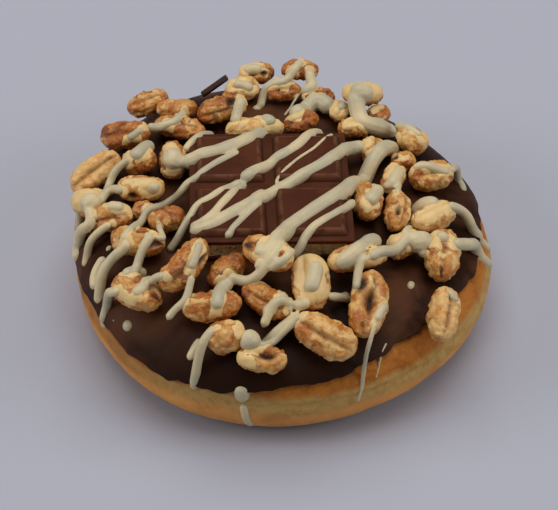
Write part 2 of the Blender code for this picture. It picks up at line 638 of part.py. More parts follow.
def is_clear(place, reach, carrier, trees):
    """Whether a strand at a place keeps its gap to every node but its carrier."""
    for name, tree in trees.items():
        if name != carrier and tree.find_nearest(place * MM, (reach + GAP) * MM)[0]:
            return False
    return True


def make_strand(places, normals, half_width):
    """Flattened tube with round ends along places on a surface."""
    rings = []
    last = len(places) - 1
    for i, (place, normal) in enumerate(zip(places, normals)):
        along = (places[min(i + 1, last)] - places[max(i - 1, 0)]).normalized()
        side = along.cross(normal).normalized()
        up = side.cross(along)
        size = half_width * (STRAND_END if i in (0, last) else 1.0)
        ring = []
        for step in range(STRAND_SIDES):
            turn = 2 * math.pi * step / STRAND_SIDES
            ring.append(place + side * math.cos(turn) * size - up * math.sin(turn) * size * STRAND_FLATNESS)
        rings.append(ring)
    start = places[0] + (places[0] - places[1]).normalized() * half_width * STRAND_TIP
    end = places[-1] + (places[-1] - places[-2]).normalized() * half_width * STRAND_TIP
    return loft("strand", start, rings, end, None)


def add_drizzle(carriers, trees):
    """Fuse each stretch of drizzle to the carrier that it lies on."""
    pieces = {name: [] for name in carriers}
    for half_width, *points in STRANDS:
        if half_width < THINNEST_SOLID_STRAND:
            continue
        run, run_carrier = [], None
        for sample in sample_route(points) + [None]:
            hit = drop(sample, trees) if sample else None
            carrier = hit[2] if hit and hit[2] in pieces else None
            if carrier:
                place = hit[0] + hit[1] * half_width * (STRAND_FLATNESS - STRAND_SINK)
                if not is_clear(place, half_width, carrier, trees):
                    carrier = None
            if carrier != run_carrier:
                if len(run) > 2:
                    pieces[run_carrier].append(make_strand(*zip(*run), half_width))
                run, run_carrier = [], carrier
            if carrier:
                run.append((place, hit[1]))
    for name, strands in pieces.items():
        combine(carriers[name], strands, "UNION")
        keep_largest_body(carriers[name])


def surface_tree(node):
    """Search tree over a node's faces."""
    return BVHTree.FromPolygons([v.co for v in node.data.vertices],
                                [p.vertices for p in node.data.polygons])


def build():
    """Build every node."""
    for old in list(bpy.data.objects):
        bpy.data.objects.remove(old)
    dough = make_dough(make_material("dough", (0.42, 0.2, 0.06), 0.6))
    icing = make_icing(make_material("icing", (0.022, 0.009, 0.006), 0.3))
    shell = make_block_shell(make_material("block_shell", (0.1, 0.03, 0.015), 0.35))
    make_block_filling(make_material("block_filling", (0.5, 0.45, 0.28), 0.7))
    make_shard(make_material("chocolate_shard", (0.04, 0.015, 0.01), 0.4))
    for number, kernel in enumerate(lay_kernels(), 1):
        make_kernel(kernel, number, make_material(f"kernel_{number:02d}", (0.55, 0.33, 0.13), 0.6))
    trees = {node.name: surface_tree(node) for node in bpy.data.objects}
    add_drizzle({"dough": dough, "icing": icing, "block_shell": shell}, trees)


build()
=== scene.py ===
"""Looks of a filled, iced doughnut with a chocolate square, puffed wheat and drizzle."""
import math
import random

import bmesh
import bpy
from bpy.props import FloatProperty, FloatVectorProperty, PointerProperty
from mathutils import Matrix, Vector, noise
from mathutils.bvhtree import BVHTree
from mathutils.kdtree import KDTree


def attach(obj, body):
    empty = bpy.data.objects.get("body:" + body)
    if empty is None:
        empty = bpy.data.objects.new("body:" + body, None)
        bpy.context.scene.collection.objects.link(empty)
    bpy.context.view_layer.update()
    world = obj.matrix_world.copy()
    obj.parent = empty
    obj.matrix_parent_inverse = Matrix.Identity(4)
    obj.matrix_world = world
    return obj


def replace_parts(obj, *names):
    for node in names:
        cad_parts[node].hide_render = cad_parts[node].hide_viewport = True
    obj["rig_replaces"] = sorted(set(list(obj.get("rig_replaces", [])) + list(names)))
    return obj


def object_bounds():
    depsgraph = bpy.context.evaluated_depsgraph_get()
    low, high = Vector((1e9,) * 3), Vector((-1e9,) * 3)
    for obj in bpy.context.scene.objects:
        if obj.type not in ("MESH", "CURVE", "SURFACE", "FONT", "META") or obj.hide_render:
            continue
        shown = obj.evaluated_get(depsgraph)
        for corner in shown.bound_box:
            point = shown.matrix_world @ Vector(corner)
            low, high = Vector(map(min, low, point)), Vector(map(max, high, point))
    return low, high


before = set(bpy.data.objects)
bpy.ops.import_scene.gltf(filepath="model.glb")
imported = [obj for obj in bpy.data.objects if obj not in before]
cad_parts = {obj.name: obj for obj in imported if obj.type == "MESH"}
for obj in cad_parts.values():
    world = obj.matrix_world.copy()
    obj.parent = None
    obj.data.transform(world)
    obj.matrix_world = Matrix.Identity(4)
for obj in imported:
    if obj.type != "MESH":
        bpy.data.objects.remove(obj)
CAD_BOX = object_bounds()

bl_info = {
    "name": "Iced Doughnut",
    "version": (1, 0, 0),
    "blender": (4, 5, 0),
    "location": "View3D > Sidebar > Doughnut",
    "description": "Builds a filled iced doughnut with its toppings and a plain studio",
    "category": "Object",
}

# Sizes are in millimetres, as in the solids, and become metres in finish_piece.
MM = 0.001
GAP = 0.35

# Dough. The waves come from a least-squares fit to outline points read off the photograph, and were
# then adjusted.
DOUGH_RADIUS = 47.5
PLAN_WAVES = ((1, 0.7, 0.6), (2, 0.35, -0.6), (3, 0.8, -0.05))
BELT_HEIGHT = 11.7
FOOT_ROUNDING = 10.8
CROWN_RISE = 13.6
SIDE_POWER = 4.4
CROWN_POWER = 3.3
CROWN_PULL_IN = 1.2
CROWN_PROBE = 0.01
LEAN_X = -0.07
LEAN_Y = 0.01
ROW_EASE = 1.5
DOUGH_MESH = (280, 150)
SOLE_SHARE = 0.12
FOOT_SHARE = 0.4
INSET_UNDER_ICING = 0.35
INSET_RUN = 0.08
GROOVE_RISE = 2.2
GROOVE_WANDER = 0.6
GROOVE_WIDTH = 0.55

# Icing. The first three waves come from a least-squares fit to rim points read off the photograph,
# with a guessed level for the back. The last two are given.
ICING_THICKNESS = 0.9
ICING_EDGE = 0.21
EDGE_WAVES = ((1, 0.083, -0.054), (2, 0.014, -0.069), (3, -0.012, -0.023),
              (7, 0.006, 0.01), (12, 0.01, 0.006))
EDGE_RIPPLE = 0.035
RIPPLE_RADIUS = 30
RIPPLE_COARSE = 3.5
RIPPLE_FINE = 1.3
ICING_MESH = (320, 150)
LIP_LOW = 0.40
LIP_HIGH = 0.50
LIP_REACH = 0.012
LIP_PROBE = 0.03
LIP_UNDERSIDE = 0.3
LIP_THINNING = 0.1
ICING_SWELL = 0.12

# Chocolate square
BLOCK_X = -1.55
BLOCK_Y = 1.75
BLOCK_SIDE = 35.9
BLOCK_TOP = 34.3
BLOCK_HEIGHT = 7.6
BLOCK_TURN = math.radians(2.45)
BLOCK_LEAN_X = -0.032
BLOCK_LEAN_Y = -0.066
PAD_HEIGHT = 1.4
PAD_LEDGE = 1.1
PAD_GROOVE = 1.6
PAD_SLOPE = 1.5
WALL = 1.2
ROOF = 1.2
SOLE = 1.1
SEAT_REACH = 22.0
SEAT_BLEND = 10.0

# Shard
SHARD_PLACE = (-14.8, 38.5, 28.9)
SHARD_LONG = (0.8, 0.45, 0.35)
SHARD_DEEP = (0.0, 0.67, -0.74)
SHARD_LENGTH = 7.5
SHARD_DEPTH = 5.2
SHARD_THICKNESS = 1.3

# Kernels: x, y, lift above the icing, heading in degrees, extra pitch, length, width. Another program
# worked them out from kernel ends read by eye in the photograph.
KERNELS = (
    (-35.0, 21.0, 0.0, -9, 0, 11.8, 6.7),
    (-41.0, 9.5, 0.0, 33, 0, 13.0, 7.2),
    (-29.0, 32.5, 0.0, 21, 0, 9.9, 6.2),
    (-23.5, 31.0, 0.0, -4, 0, 9.3, 5.5),
    (-22.5, 24.5, 0.0, -9, 0, 11.8, 5.9),
    (-30.5, 11.5, 0.0, 21, 0, 7.7, 6.4),
    (-24.5, 12.5, 0.0, -85, 0, 9.9, 6.9),
    (-30.5, 2.5, 0.0, 2, 0, 10.3, 6.7),
    (-41.5, -0.5, 0.0, -17, 0, 7.4, 6.9),
    (-37.0, -4.5, 0.0, 1, 0, 9.8, 6.4),
    (-30.0, -3.5, 0.0, 8, 0, 4.9, 4.0),
    (-24.5, -6.5, 0.0, 15, 0, 8.1, 6.2),
    (-30.5, -13.5, 0.0, -19, 0, 12.3, 7.2),
    (-29.5, -26.5, 0.0, -34, 0, 11.8, 7.7),
    (-19.0, -22.0, 1.5, 49, 10, 14.1, 7.4),
    (-10.5, -21.5, 0.0, 44, 0, 9.9, 6.4),
    (-3.5, -20.5, 3.0, -28, 0, 11.6, 7.2),
    (7.0, -25.5, 0.0, -85, 0, 12.4, 8.2),
    (16.5, -18.0, 1.0, 17, 0, 13.2, 6.7),
    (19.0, -27.5, 0.0, -100, 0, 15.5, 8.2),
    (28.0, -11.5, 0.0, 37, 0, 9.0, 6.2),
    (33.5, -2.0, 0.0, 37, 0, 11.3, 6.7),
    (36.5, -13.5, 0.0, -96, 0, 13.1, 7.9),
    (36.0, -28.0, 0.0, -100, 0, 12.6, 6.9),
    (35.0, 10.5, 0.0, 21, 0, 10.3, 7.4),
    (27.0, -1.0, 0.0, -97, 0, 11.5, 6.2),
    (21.0, 0.0, 0.0, -91, 0, 10.7, 6.7),
    (27.0, 8.5, 0.0, -103, 0, 9.4, 5.2),
    (29.0, 15.5, 0.0, 17, 0, 5.5, 4.5),
    (31.5, 23.0, 0.0, -45, 0, 7.7, 6.4),
    (22.0, 18.0, 0.0, -92, 0, 7.9, 5.5),
    (18.0, 26.0, 0.0, 8, 0, 7.3, 5.0),
    (23.5, 32.5, 0.0, 41, 0, 6.5, 4.5),
    (20.0, 34.5, 2.5, 18, 0, 9.9, 5.7),
    (15.0, 32.0, 1.0, -90, 0, 5.8, 4.2),
    (-13.5, 30.5, 0.0, 23, 0, 12.0, 6.7),
    (-8.5, 36.5, 0.0, 21, 0, 8.1, 5.9),
    (-5.0, 43.0, 2.0, 15, 0, 8.5, 5.0),
    (5.5, 42.5, 4.0, 14, 0, 9.0, 5.0),
    (2.0, 38.0, 0.0, 12, 0, 8.2, 5.0),
    (9.5, 37.0, 0.0, 6, 0, 7.8, 4.5),
    (5.0, 27.5, 0.0, 27, 0, 8.5, 4.7),
    (-5.0, 26.0, 0.0, 8, 0, 13.5, 5.9),
    (-13.0, -31.0, 0.0, 5, 0, 12.8, 7.4),
    (-2.5, -29.5, 0.0, -26, 0, 12.0, 6.7),
    (-10.0, -38.5, 0.0, 11, 0, 8.3, 7.2),
    (-4.0, -41.5, 0.0, -4, 0, 10.4, 5.9),
    (10.5, -37.5, 0.0, -27, 0, 14.2, 8.7),
)

# Hollows: kernel, place along it from -1 to 1, turn round it in degrees, share of the radius that it
# is deep, width. Another program turned spots read by eye into these.
HOLLOWS = (
    (13, 0.71, 130, 0.50, 0.50), (14, 0.89, 88, 0.50, 0.40), (15, 0.40, 165, 0.35, 0.30),
    (17, -0.72, 134, 0.30, 0.35), (17, 0.31, 153, 0.35, 0.35), (20, 0.06, 80, 0.60, 0.50),
    (20, -0.41, 126, 0.20, 0.45), (21, -0.81, 155, 0.55, 0.45), (26, 0.39, 84, 0.50, 0.35),
    (47, 0.20, 103, 0.60, 0.60), (36, 0.32, 116, 0.35, 0.40), (38, -0.33, 142, 0.35, 0.35),
    (38, 0.30, 142, 0.35, 0.35), (41, -0.65, 145, 0.30, 0.30), (23, 0.90, 92, 0.40, 0.30),
    (7, 0.58, 157, 0.25, 0.30), (29, -0.77, 94, 0.30, 0.40), (8, -0.34, 172, 0.30, 0.35),
)
KERNEL_MESH = (64, 42)
KERNEL_BLUNTNESS = 2.8
CREASE_DEPTH = 0.2
CREASE_WIDTH = 0.5
CREASE_SWING = 0.7
BEND_SHARE = 0.05
FINE_CREASE_DEPTH = 0.16
FINE_CREASE_WIDTH = 0.2

# Kernels whose crease faces another way than by chance, in degrees round the kernel.
CREASES = {1: 128, 2: 118, 6: 40, 7: 150, 8: 60, 10: 140, 12: 30, 16: 20, 18: 120, 19: 60, 21: 40,
           22: 70, 23: 84, 24: 60, 26: 40, 27: 60, 34: 60, 36: 150, 43: 60, 44: 60, 45: 132, 48: 128}

# How much more or less toasted a kernel is than by chance.
TONES = {1: 0.09, 2: -0.1, 3: 0.0, 5: 0.06, 10: 0.02, 12: 0.06, 15: 0.03, 16: 0.1, 18: -0.06, 19: -0.04,
         22: -0.12, 24: -0.1, 30: -0.06, 33: 0.08, 36: 0.05, 37: -0.12, 39: 0.05, 40: 0.1, 41: 0.03,
         42: 0.1, 43: -0.12, 44: 0.02, 45: 0.05, 46: -0.02, 48: -0.03}

# Share of each kernel's top that drizzle coats, as judged.
COATS = (0.1, 0.3, 0.1, 0.1, 0.2, 0.5, 0.5, 0.55, 0.85, 0.4, 0.1, 0.15, 0.2, 0.3, 0.3, 0.0,
         0.3, 0.85, 0.3, 0.3, 0.8, 0.75, 0.4, 0.2, 0.25, 0.2, 0.4, 0.6, 0.5, 0.4, 0.5, 0.6,
         0.6, 0.95, 0.8, 0.25, 0.45, 0.4, 0.4, 0.2, 0.2, 0.2, 0.4, 0.05, 0.2, 0.35, 0.1, 0.2)
COAT_THICKNESS = 0.3

# How much fuller kernels are than their solids, so that neighbours meet and clip a little.
KERNEL_SPREAD = 0.2

# How far kernels stay below the top of the solids' box.
CEILING_GAP = 0.4

# How kernels settle, as in the solids.
SETTLE_ROUNDS = 60
FREE_ROUNDS = 60
END_SHARE = 0.4
LEAST_RISE = 0.35
SINK_STEP = 0.15
PUSH_STEP = 1.0
SKIN_ROWS = 40
PROFILES_AROUND = 56

# Drizzle strands: half width, then plan points; a third number is a height on the side. Another
# program converted most of them from points read by eye; a few were set by hand.
STRANDS = (
    (1.7, (-3, 21.5), (-6.5, 16.5), (-11.5, 13), (-16, 11), (-19, 10), (-21.5, 9.5)),
    (0.85, (-8.5, 12), (-14, 7.5), (-18, 3.5), (-20, 3), (-21.5, 1.5), (-25, 0.5), (-27.5, -3.5),
     (-29, -4.5), (-30.5, -9), (-32.5, -13.5), (-33.5, -15.5)),
    (0.95, (-15, 23), (-17.5, 19), (-20, 15.5), (-21, 13.5)),
    (1.3, (10, 24.5), (5.5, 15.5), (0.5, 10.5), (-2, 8.5), (-5, 5.5), (-8, 3)),
    (0.95, (-7, 2.5), (-12, -5.5), (-15.5, -11), (-19, -12)),
    (1.45, (20.5, 18), (17, 17), (12, 10), (7.5, 6), (4, 3.5), (0.5, 1), (-2.5, -2), (-7, -6),
     (-11.5, -10), (-15.5, -13), (-19, -13)),
    (0.85, (-3.5, -4.5), (-7, -9.5), (-9, -12.5), (-11, -15.5)),
    (0.4, (13, 20), (8.5, 13.5), (5, 10), (1.5, 5.5), (-0.5, 2.5)),
    (0.5, (15.5, 17), (13, 12.5)),
    (0.35, (-3, 0), (-6, -3.5)),
    (1.7, (27.5, 22.5), (22, 14), (17.5, 5.5), (14, -1), (9.5, -5.5), (5, -10), (2, -13.5),
     (-0.5, -19.5), (-2.5, -22.5), (-4, -23.5)),
    (0.95, (16.5, -2.5), (17, -2.5), (14, -7), (10.5, -10), (7.5, -13), (6, -15), (5.5, -16),
     (5, -17), (3, -18)),
    (1.1, (38, -1), (41.5, 0), (44.5, -0.5, 20.5), (47, -1, 17.5), (48.5, -1.5, 14.5)),
    (1.3, (38.5, -13), (42, -10.5), (45, -6, 20), (47, -6, 17), (48.5, -5.5, 13.5)),
    (0.95, (39.5, 10.5), (42, 16.5, 20), (43.5, 15.5, 19.5), (43.5, 12.5, 20)),
    (1.1, (20, -21), (22, -19), (25, -17), (28, -13), (30, -10.5)),
    (0.95, (31.5, -11.5), (32, -13.5), (32.5, -15)),
    (0.85, (30, -18), (29, -20.5)),
    (0.85, (-36.5, -8), (-38, -8.5), (-40.5, -9), (-42.5, -10.5, 23), (-43, -12.5, 21.5)),
    (0.6, (-36.5, -10), (-38, -11.5)),
    (1.1, (-38, -12.5), (-39, -14), (-40, -15.5), (-40.5, -18, 22), (-40, -19.5, 22)),
    (1.1, (-32.5, -15.5), (-32.5, -16.5), (-34, -17), (-36, -17.5), (-38, -19), (-39, -21, 22),
     (-39.5, -22.5, 20.5)),
    (0.95, (-33.5, -28), (-35, -28), (-37, -24.5, 22), (-38, -25.5, 19.5), (-39, -24.5, 15)),
    (0.95, (-27, -14), (-28, -15.5), (-29.5, -18), (-30.5, -21), (-31, -23.5)),
    (0.85, (-23.5, -27.5), (-26, -26.5), (-27.5, -27)),
    (0.8, (-18, -26.5), (-19.5, -31.5), (-21.5, -32), (-23.5, -33.5)),
    (0.95, (-12.5, -38), (-14.5, -39.5), (-16, -41), (-17, -41.5, 20.5), (-18, -42.5, 15.5)),
    (1, (-16, -35.5), (-17.5, -37.5), (-19, -40, 22)),
    (1.35, (-32.5, -30, 22.5), (-32.5, -30.5, 22)),
    (0.5, (-35.5, -27.5, 21.5), (-35.5, -28, 21)),
    (1.7, (-7.5, -43.5, 20), (-7.5, -45, 17.5), (-7.5, -46, 14.5)),
    (0.95, (-7.5, -46.5, 14), (-7, -46.5, 11.5), (-6.5, -45.5, 8), (-5.5, -44.5, 5.5)),
    (0.85, (23.5, -30.5), (22, -33), (21, -35)),
    (0.3, (24, -34), (23, -35.5), (22, -38, 18.5), (21, -40, 16.5)),
    (0.85, (16, -24), (14, -25), (11.5, -25.5)),
    (0.85, (16, -25.5), (13.5, -27.5), (11, -29.5)),
    (0.95, (6, 44, 21.5), (2, 38.5), (-1.5, 38), (-3, 37.5), (-3.5, 36), (-4, 34)),
    (1.2, (7.5, 42), (8.5, 38), (8, 38), (6, 36.5)),
    (1.9, (13, 31.5), (10, 35), (6.5, 32.5), (4, 28)),
    (0.35, (5.5, 37), (1.5, 31.5)),
    (0.85, (-3.5, 34), (-6, 34)),
    (0.85, (-31, 20), (-32.5, 18.5), (-34.5, 18)),
    (1.2, (-8, 42.5), (-6, 43.5), (-3.5, 43.5)),
    (0.95, (-21.5, 27.5), (-23.5, 23.5), (-26, 23), (-27.5, 22), (-30, 21)),
    (1.45, (-29, 16.5), (-31, 11.5), (-33, 9.5)),
    (0.85, (-33, 9.5), (-35, 9), (-37.5, 7.5), (-39, 0.5), (-40.5, -2)),
    (0.95, (-34, 0), (-37.5, 2.5), (-40, -2)),
    (1.55, (-28, 1.5), (-27, 1), (-29, 0)),
    (2.3, (-41, -1.5), (-42, -2.5)),
    (1.2, (-37.5, -4.5), (-35, -5.5), (-33.5, -5.5)),
    (2.15, (-24, 13), (-23.5, 9.5), (-24, 8)),
    (1.45, (-23, 9), (-20.5, 10.5)),
    (0.85, (-43.5, -2), (-44.5, -0.5, 22), (-45.5, -3, 20.5), (-45.5, -5.5, 20.5)),
    (1.1, (-42, -3), (-41, -7), (-42, -8), (-44.5, -5.5, 21.5), (-45.5, -6.5, 19.5), (-45, -9, 19.5)),
    (1.45, (-45.5, -6, 20.5), (-45, -9, 19.5)),
    (0.7, (-26, -9.5), (-25, -14), (-24.5, -15), (-26.5, -15)),
    (1.2, (-33, -24), (-31, -21.5), (-28.5, -20.5)),
    (1.1, (-27, -24), (-29, -28.5), (-30.5, -30)),
    (0.85, (-8, 3), (-10, 1.5), (-15, -4), (-18, -6), (-19, -8.5), (-20.5, -10), (-22, -12),
     (-24, -13.5)),
    (0.95, (-16.5, -20), (-17.5, -23.5), (-18.5, -26)),
    (0.95, (-3, -20), (-4, -22.5), (-4, -23.5)),
    (0.85, (-3, -24), (-4, -24.5), (-4, -26)),
    (0.85, (3.5, -21.5), (1.5, -25), (-0.5, -25.5), (-2, -26)),
    (0.7, (-3, -24), (-1, -25), (1.5, -25)),
    (1.1, (1.5, -19.5), (-1.5, -24.5), (-4.5, -26.5), (-8, -25.6), (-10.5, -25.6)),
    (1.45, (-9.5, -25.6), (-11.8, -27.5), (-12.5, -32), (-13, -34)),
    (0.85, (0, -31), (-1.5, -32.5), (-3, -33)),
    (0.95, (1, -29), (1.5, -30.5)),
    (0.95, (3.5, -31.5), (0.5, -31), (-1.5, -33), (-3, -35.5)),
    (0.95, (5.5, -35), (3.5, -35.5), (0.5, -35.5), (-2.5, -37.5)),
    (1.1, (7, -31), (5.5, -32), (3.5, -30.5)),
    (0.7, (2, -32.5), (3.5, -32)),
    (2.2, (-7, -38.5), (-5.5, -40), (-5, -41.5)),
    (1.0, (-4.5, -39), (-1, -35.5), (2.5, -34), (5, -33.5)),
    (0.8, (-3.5, -41), (0.5, -37.5), (4.5, -35.5)),
    (1.7, (8.5, -23), (8, -27), (7, -30)),
    (1.7, (22, -12.5), (18, -18.5), (14.5, -22), (12.5, -22)),
    (0.85, (20, -21), (18, -21.5), (17, -27.5)),
    (2.15, (28.5, -13.5), (31.5, -11.5), (34.5, -12.5)),
    (1.8, (31, 0.5), (33.5, 1.5), (36.5, 0)),
    (0.85, (30.5, -1.5), (29, -8), (28, -12)),
    (0.7, (37, -24), (38.5, -26), (39.5, -26.5)),
    (1.3, (35, -10.5), (38, -11.5)),
    (0.5, (21, -35), (20, -38), (18.5, -41, 17), (17.5, -43, 11.5)),
    (0.7, (27.5, 7.5), (27.5, 5), (27, 1)),
    (1.55, (23, 3.5), (21, -1.5), (20, -3)),
    (1.45, (28, 11), (26.5, 6.5), (25.5, 4.5)),
    (0.85, (26.5, 5), (24, 5.5)),
    (0.95, (31, 10), (33.5, 10.5), (37, 10), (39.5, 10.5)),
    (1.9, (18, 33.5), (20, 26.5), (23.5, 27), (27.5, 30)),
    (2.3, (17, 33), (20, 33.5), (22.5, 33.5)),
    (1.45, (15, 33), (15, 30)),
    (0.95, (28, 27.5), (31, 23.5), (33.5, 21.5)),
    (1.45, (0, 39), (0.5, 38.5)),
    (1.2, (-10.5, 36.5), (-8, 36.5), (-5.5, 36)),
    (1.2, (-8, 31), (-9, 28.5), (-10, 24.5)),
    (1.55, (-3.5, 26.5), (-0.5, 24)),
)
STRAND_STEP = 0.7
STRAND_SLOPE = 0.9
STRAND_SINK = 0.4
STRAND_SPREAD = 1.12
DRIZZLE_VOXEL = 0.3
SOFTEN_FACTOR = 0.5
SOFTEN_ROUNDS = 4

# Camera fitted to the photograph, in millimetres and pixels
IMAGE_WIDTH = 558
FOCAL_PIXELS = 2000.0
CAMERA_DISTANCE = 462.0
CAMERA_RISE = math.radians(48)
CAMERA_AIM = (0.5, 0.0, 11.7)
SENSOR_WIDTH = 36.0

# Heights in metres between which the crust changes at the belt's top and bottom.
BELT_TOP = (0.0150, 0.0172)
BELT_LOW = (0.0098, 0.0128)

# Places in metres between which the belt fades at the left and the icing's haze in front. Both
# follow the light in the photograph, not the food.
BELT_FADE = (-0.042, -0.014)
FRONT_SHADE_FADE = (-0.044, -0.026)

# Stage, in metres. The panel sets the overhead light's width.
FLOOR_HALF = 3.0
FLOOR_SPECKLE = (0.4, 0.4, 0.46)
OVERHEAD_PLACE = (0.0, 0.35, 1.6)
OVERHEAD_POWER = 17.5
FILL_WIDTH = 0.8
FILLS = (("left_fill", (-1.4, -0.2, 0.8), 8), ("right_fill", (1.4, -0.2, 0.8), 7))
WORLD_COLOR = (0.92, 0.94, 1.0, 1)
WORLD_STRENGTH = 0.135


def wave(waves, angle):
    """Sum of slow waves around the doughnut."""
    return sum(c * math.cos(n * angle) + s * math.sin(n * angle) for n, c, s in waves)


def block_local(x, y):
    """Plan position in the square's own axes."""
    dx, dy = x - BLOCK_X, y - BLOCK_Y
    c, s = math.cos(BLOCK_TURN), math.sin(BLOCK_TURN)
    return c * dx + s * dy, c * dy - s * dx


def block_point(lx, ly, down):
    """Point of the square at local plan position, so far below its top plane."""
    c, s = math.cos(BLOCK_TURN), math.sin(BLOCK_TURN)
    z = BLOCK_TOP + BLOCK_LEAN_X * lx + BLOCK_LEAN_Y * ly - down
    return Vector((BLOCK_X + c * lx - s * ly, BLOCK_Y + s * lx + c * ly, z))


def smooth(share):
    """Smooth step between 0 and 1."""
    share = min(max(share, 0.0), 1.0)
    return share * share * (3 - 2 * share)


def lump(point, size, seed=0.0):
    """Smooth noise between about -1 and 1 with lumps of a given size in millimetres."""
    return noise.noise(Vector(point) / size + Vector((seed, seed * 0.7, -seed)))


def foot_point(angle, share):
    """Dough between its flat foot (0) and its belt (1)."""
    turn = share * math.pi / 2
    radius = DOUGH_RADIUS + wave(PLAN_WAVES, angle)
    r = radius - FOOT_ROUNDING * (1 - math.sin(turn))
    return Vector((r * math.cos(angle), r * math.sin(angle), BELT_HEIGHT * (1 - math.cos(turn))))


def crown_profile(angle, share):
    """Radius, height and how far up the crown, before it leans."""
    turn = min(max(share, 0.0), 1.0) * math.pi / 2
    up = math.sin(turn) ** (2 / CROWN_POWER)
    radius = DOUGH_RADIUS + wave(PLAN_WAVES, angle) - CROWN_PULL_IN * up
    return radius * max(math.cos(turn), 0.0) ** (2 / SIDE_POWER), CROWN_RISE * up, up


def crown_point(angle, share, proud):
    """Crown between the belt (0) and the middle of the top (1), so far proud of the dough."""
    r, rise, up = crown_profile(angle, share)
    r0, rise0, _ = crown_profile(angle, share - CROWN_PROBE)
    r1, rise1, _ = crown_profile(angle, share + CROWN_PROBE)
    length = math.hypot(rise1 - rise0, r0 - r1)
    out, lift = (rise1 - rise0) / length, (r0 - r1) / length
    if share >= 1:
        out, lift = 0.0, 1.0
    r += proud * out
    x, y = r * math.cos(angle), r * math.sin(angle)
    z = BELT_HEIGHT + rise + (LEAN_X * x + LEAN_Y * y) * up
    lx, ly = block_local(x, y)
    beyond = (lx ** 4 + ly ** 4) ** 0.25 - SEAT_REACH
    seat = block_point(lx, ly, BLOCK_HEIGHT + GAP + GAP + ICING_THICKNESS).z
    z += (seat - z) * (1 - smooth(beyond / SEAT_BLEND))
    return Vector((x, y, z + proud * lift))


def icing_edge(angle):
    """Share of the crown at which the icing ends."""
    return ICING_EDGE + wave(EDGE_WAVES, angle)


def above_edge(angle, share, proud):
    """Crown between the icing's edge (0) and the middle of the top (1)."""
    edge = icing_edge(angle)
    x, y = math.cos(angle) * RIPPLE_RADIUS, math.sin(angle) * RIPPLE_RADIUS
    ripple = EDGE_RIPPLE * lump((x, y, 0), RIPPLE_COARSE)
    ripple += EDGE_RIPPLE * 0.5 * lump((x, y, 9), RIPPLE_FINE)
    edge += ripple * (1 - share) ** 6
    return crown_point(angle, edge + (1 - edge) * (1 - (1 - share) ** ROW_EASE), proud)


def skin_profile(angle):
    """Outer face of the icing at one angle, as radius and height."""
    rows = [crown_point(angle, 1 - (1 - row / SKIN_ROWS) ** ROW_EASE, GAP + ICING_THICKNESS)
            for row in range(SKIN_ROWS + 1)]
    return [(math.hypot(point.x, point.y), point.z) for point in rows]


def skin_gap(point, profiles):
    """Distance outside the icing and the direction straight out of it."""
    angle = math.atan2(point.y, point.x)
    key = round(angle * PROFILES_AROUND / math.pi)
    if key not in profiles:
        profiles[key] = skin_profile(key * math.pi / PROFILES_AROUND)
    profile = profiles[key]
    radius = math.hypot(point.x, point.y)
    best = min(range(len(profile)), key=lambda i: math.dist(profile[i], (radius, point.z)))
    low, high = profile[max(best - 1, 0)], profile[min(best + 1, len(profile) - 1)]
    length = math.dist(low, high)
    out, lift = (high[1] - low[1]) / length, (low[0] - high[0]) / length
    gap = (radius - profile[best][0]) * out + (point.z - profile[best][1]) * lift
    return gap, Vector((out * math.cos(angle), out * math.sin(angle), lift))


def block_gap(point):
    """Distance outside the square and the direction straight out of it."""
    lx, ly = block_local(point.x, point.y)
    middle = block_point(lx, ly, BLOCK_HEIGHT / 2).z
    half = BLOCK_SIDE / 2
    over = (abs(lx) - half, abs(ly) - half, abs(point.z - middle) - BLOCK_HEIGHT / 2)
    c, s = math.cos(BLOCK_TURN), math.sin(BLOCK_TURN)
    axes = (Vector((c, s, 0)) * math.copysign(1, lx), Vector((-s, c, 0)) * math.copysign(1, ly),
            Vector((0, 0, 1)) * math.copysign(1, point.z - middle))
    if max(over) <= 0:
        best = over.index(max(over))
        return over[best], axes[best]
    out = sum((axis * max(amount, 0) for axis, amount in zip(axes, over)), Vector())
    return out.length, out.normalized()


def spine(kernel):
    """Points along a kernel's middle line between the centres of its round ends."""
    half = kernel["axis"] * (kernel["length"] / 2 - kernel["radius"])
    return [kernel["place"] + half * share for share in (-1, -0.5, 0, 0.5, 1)]


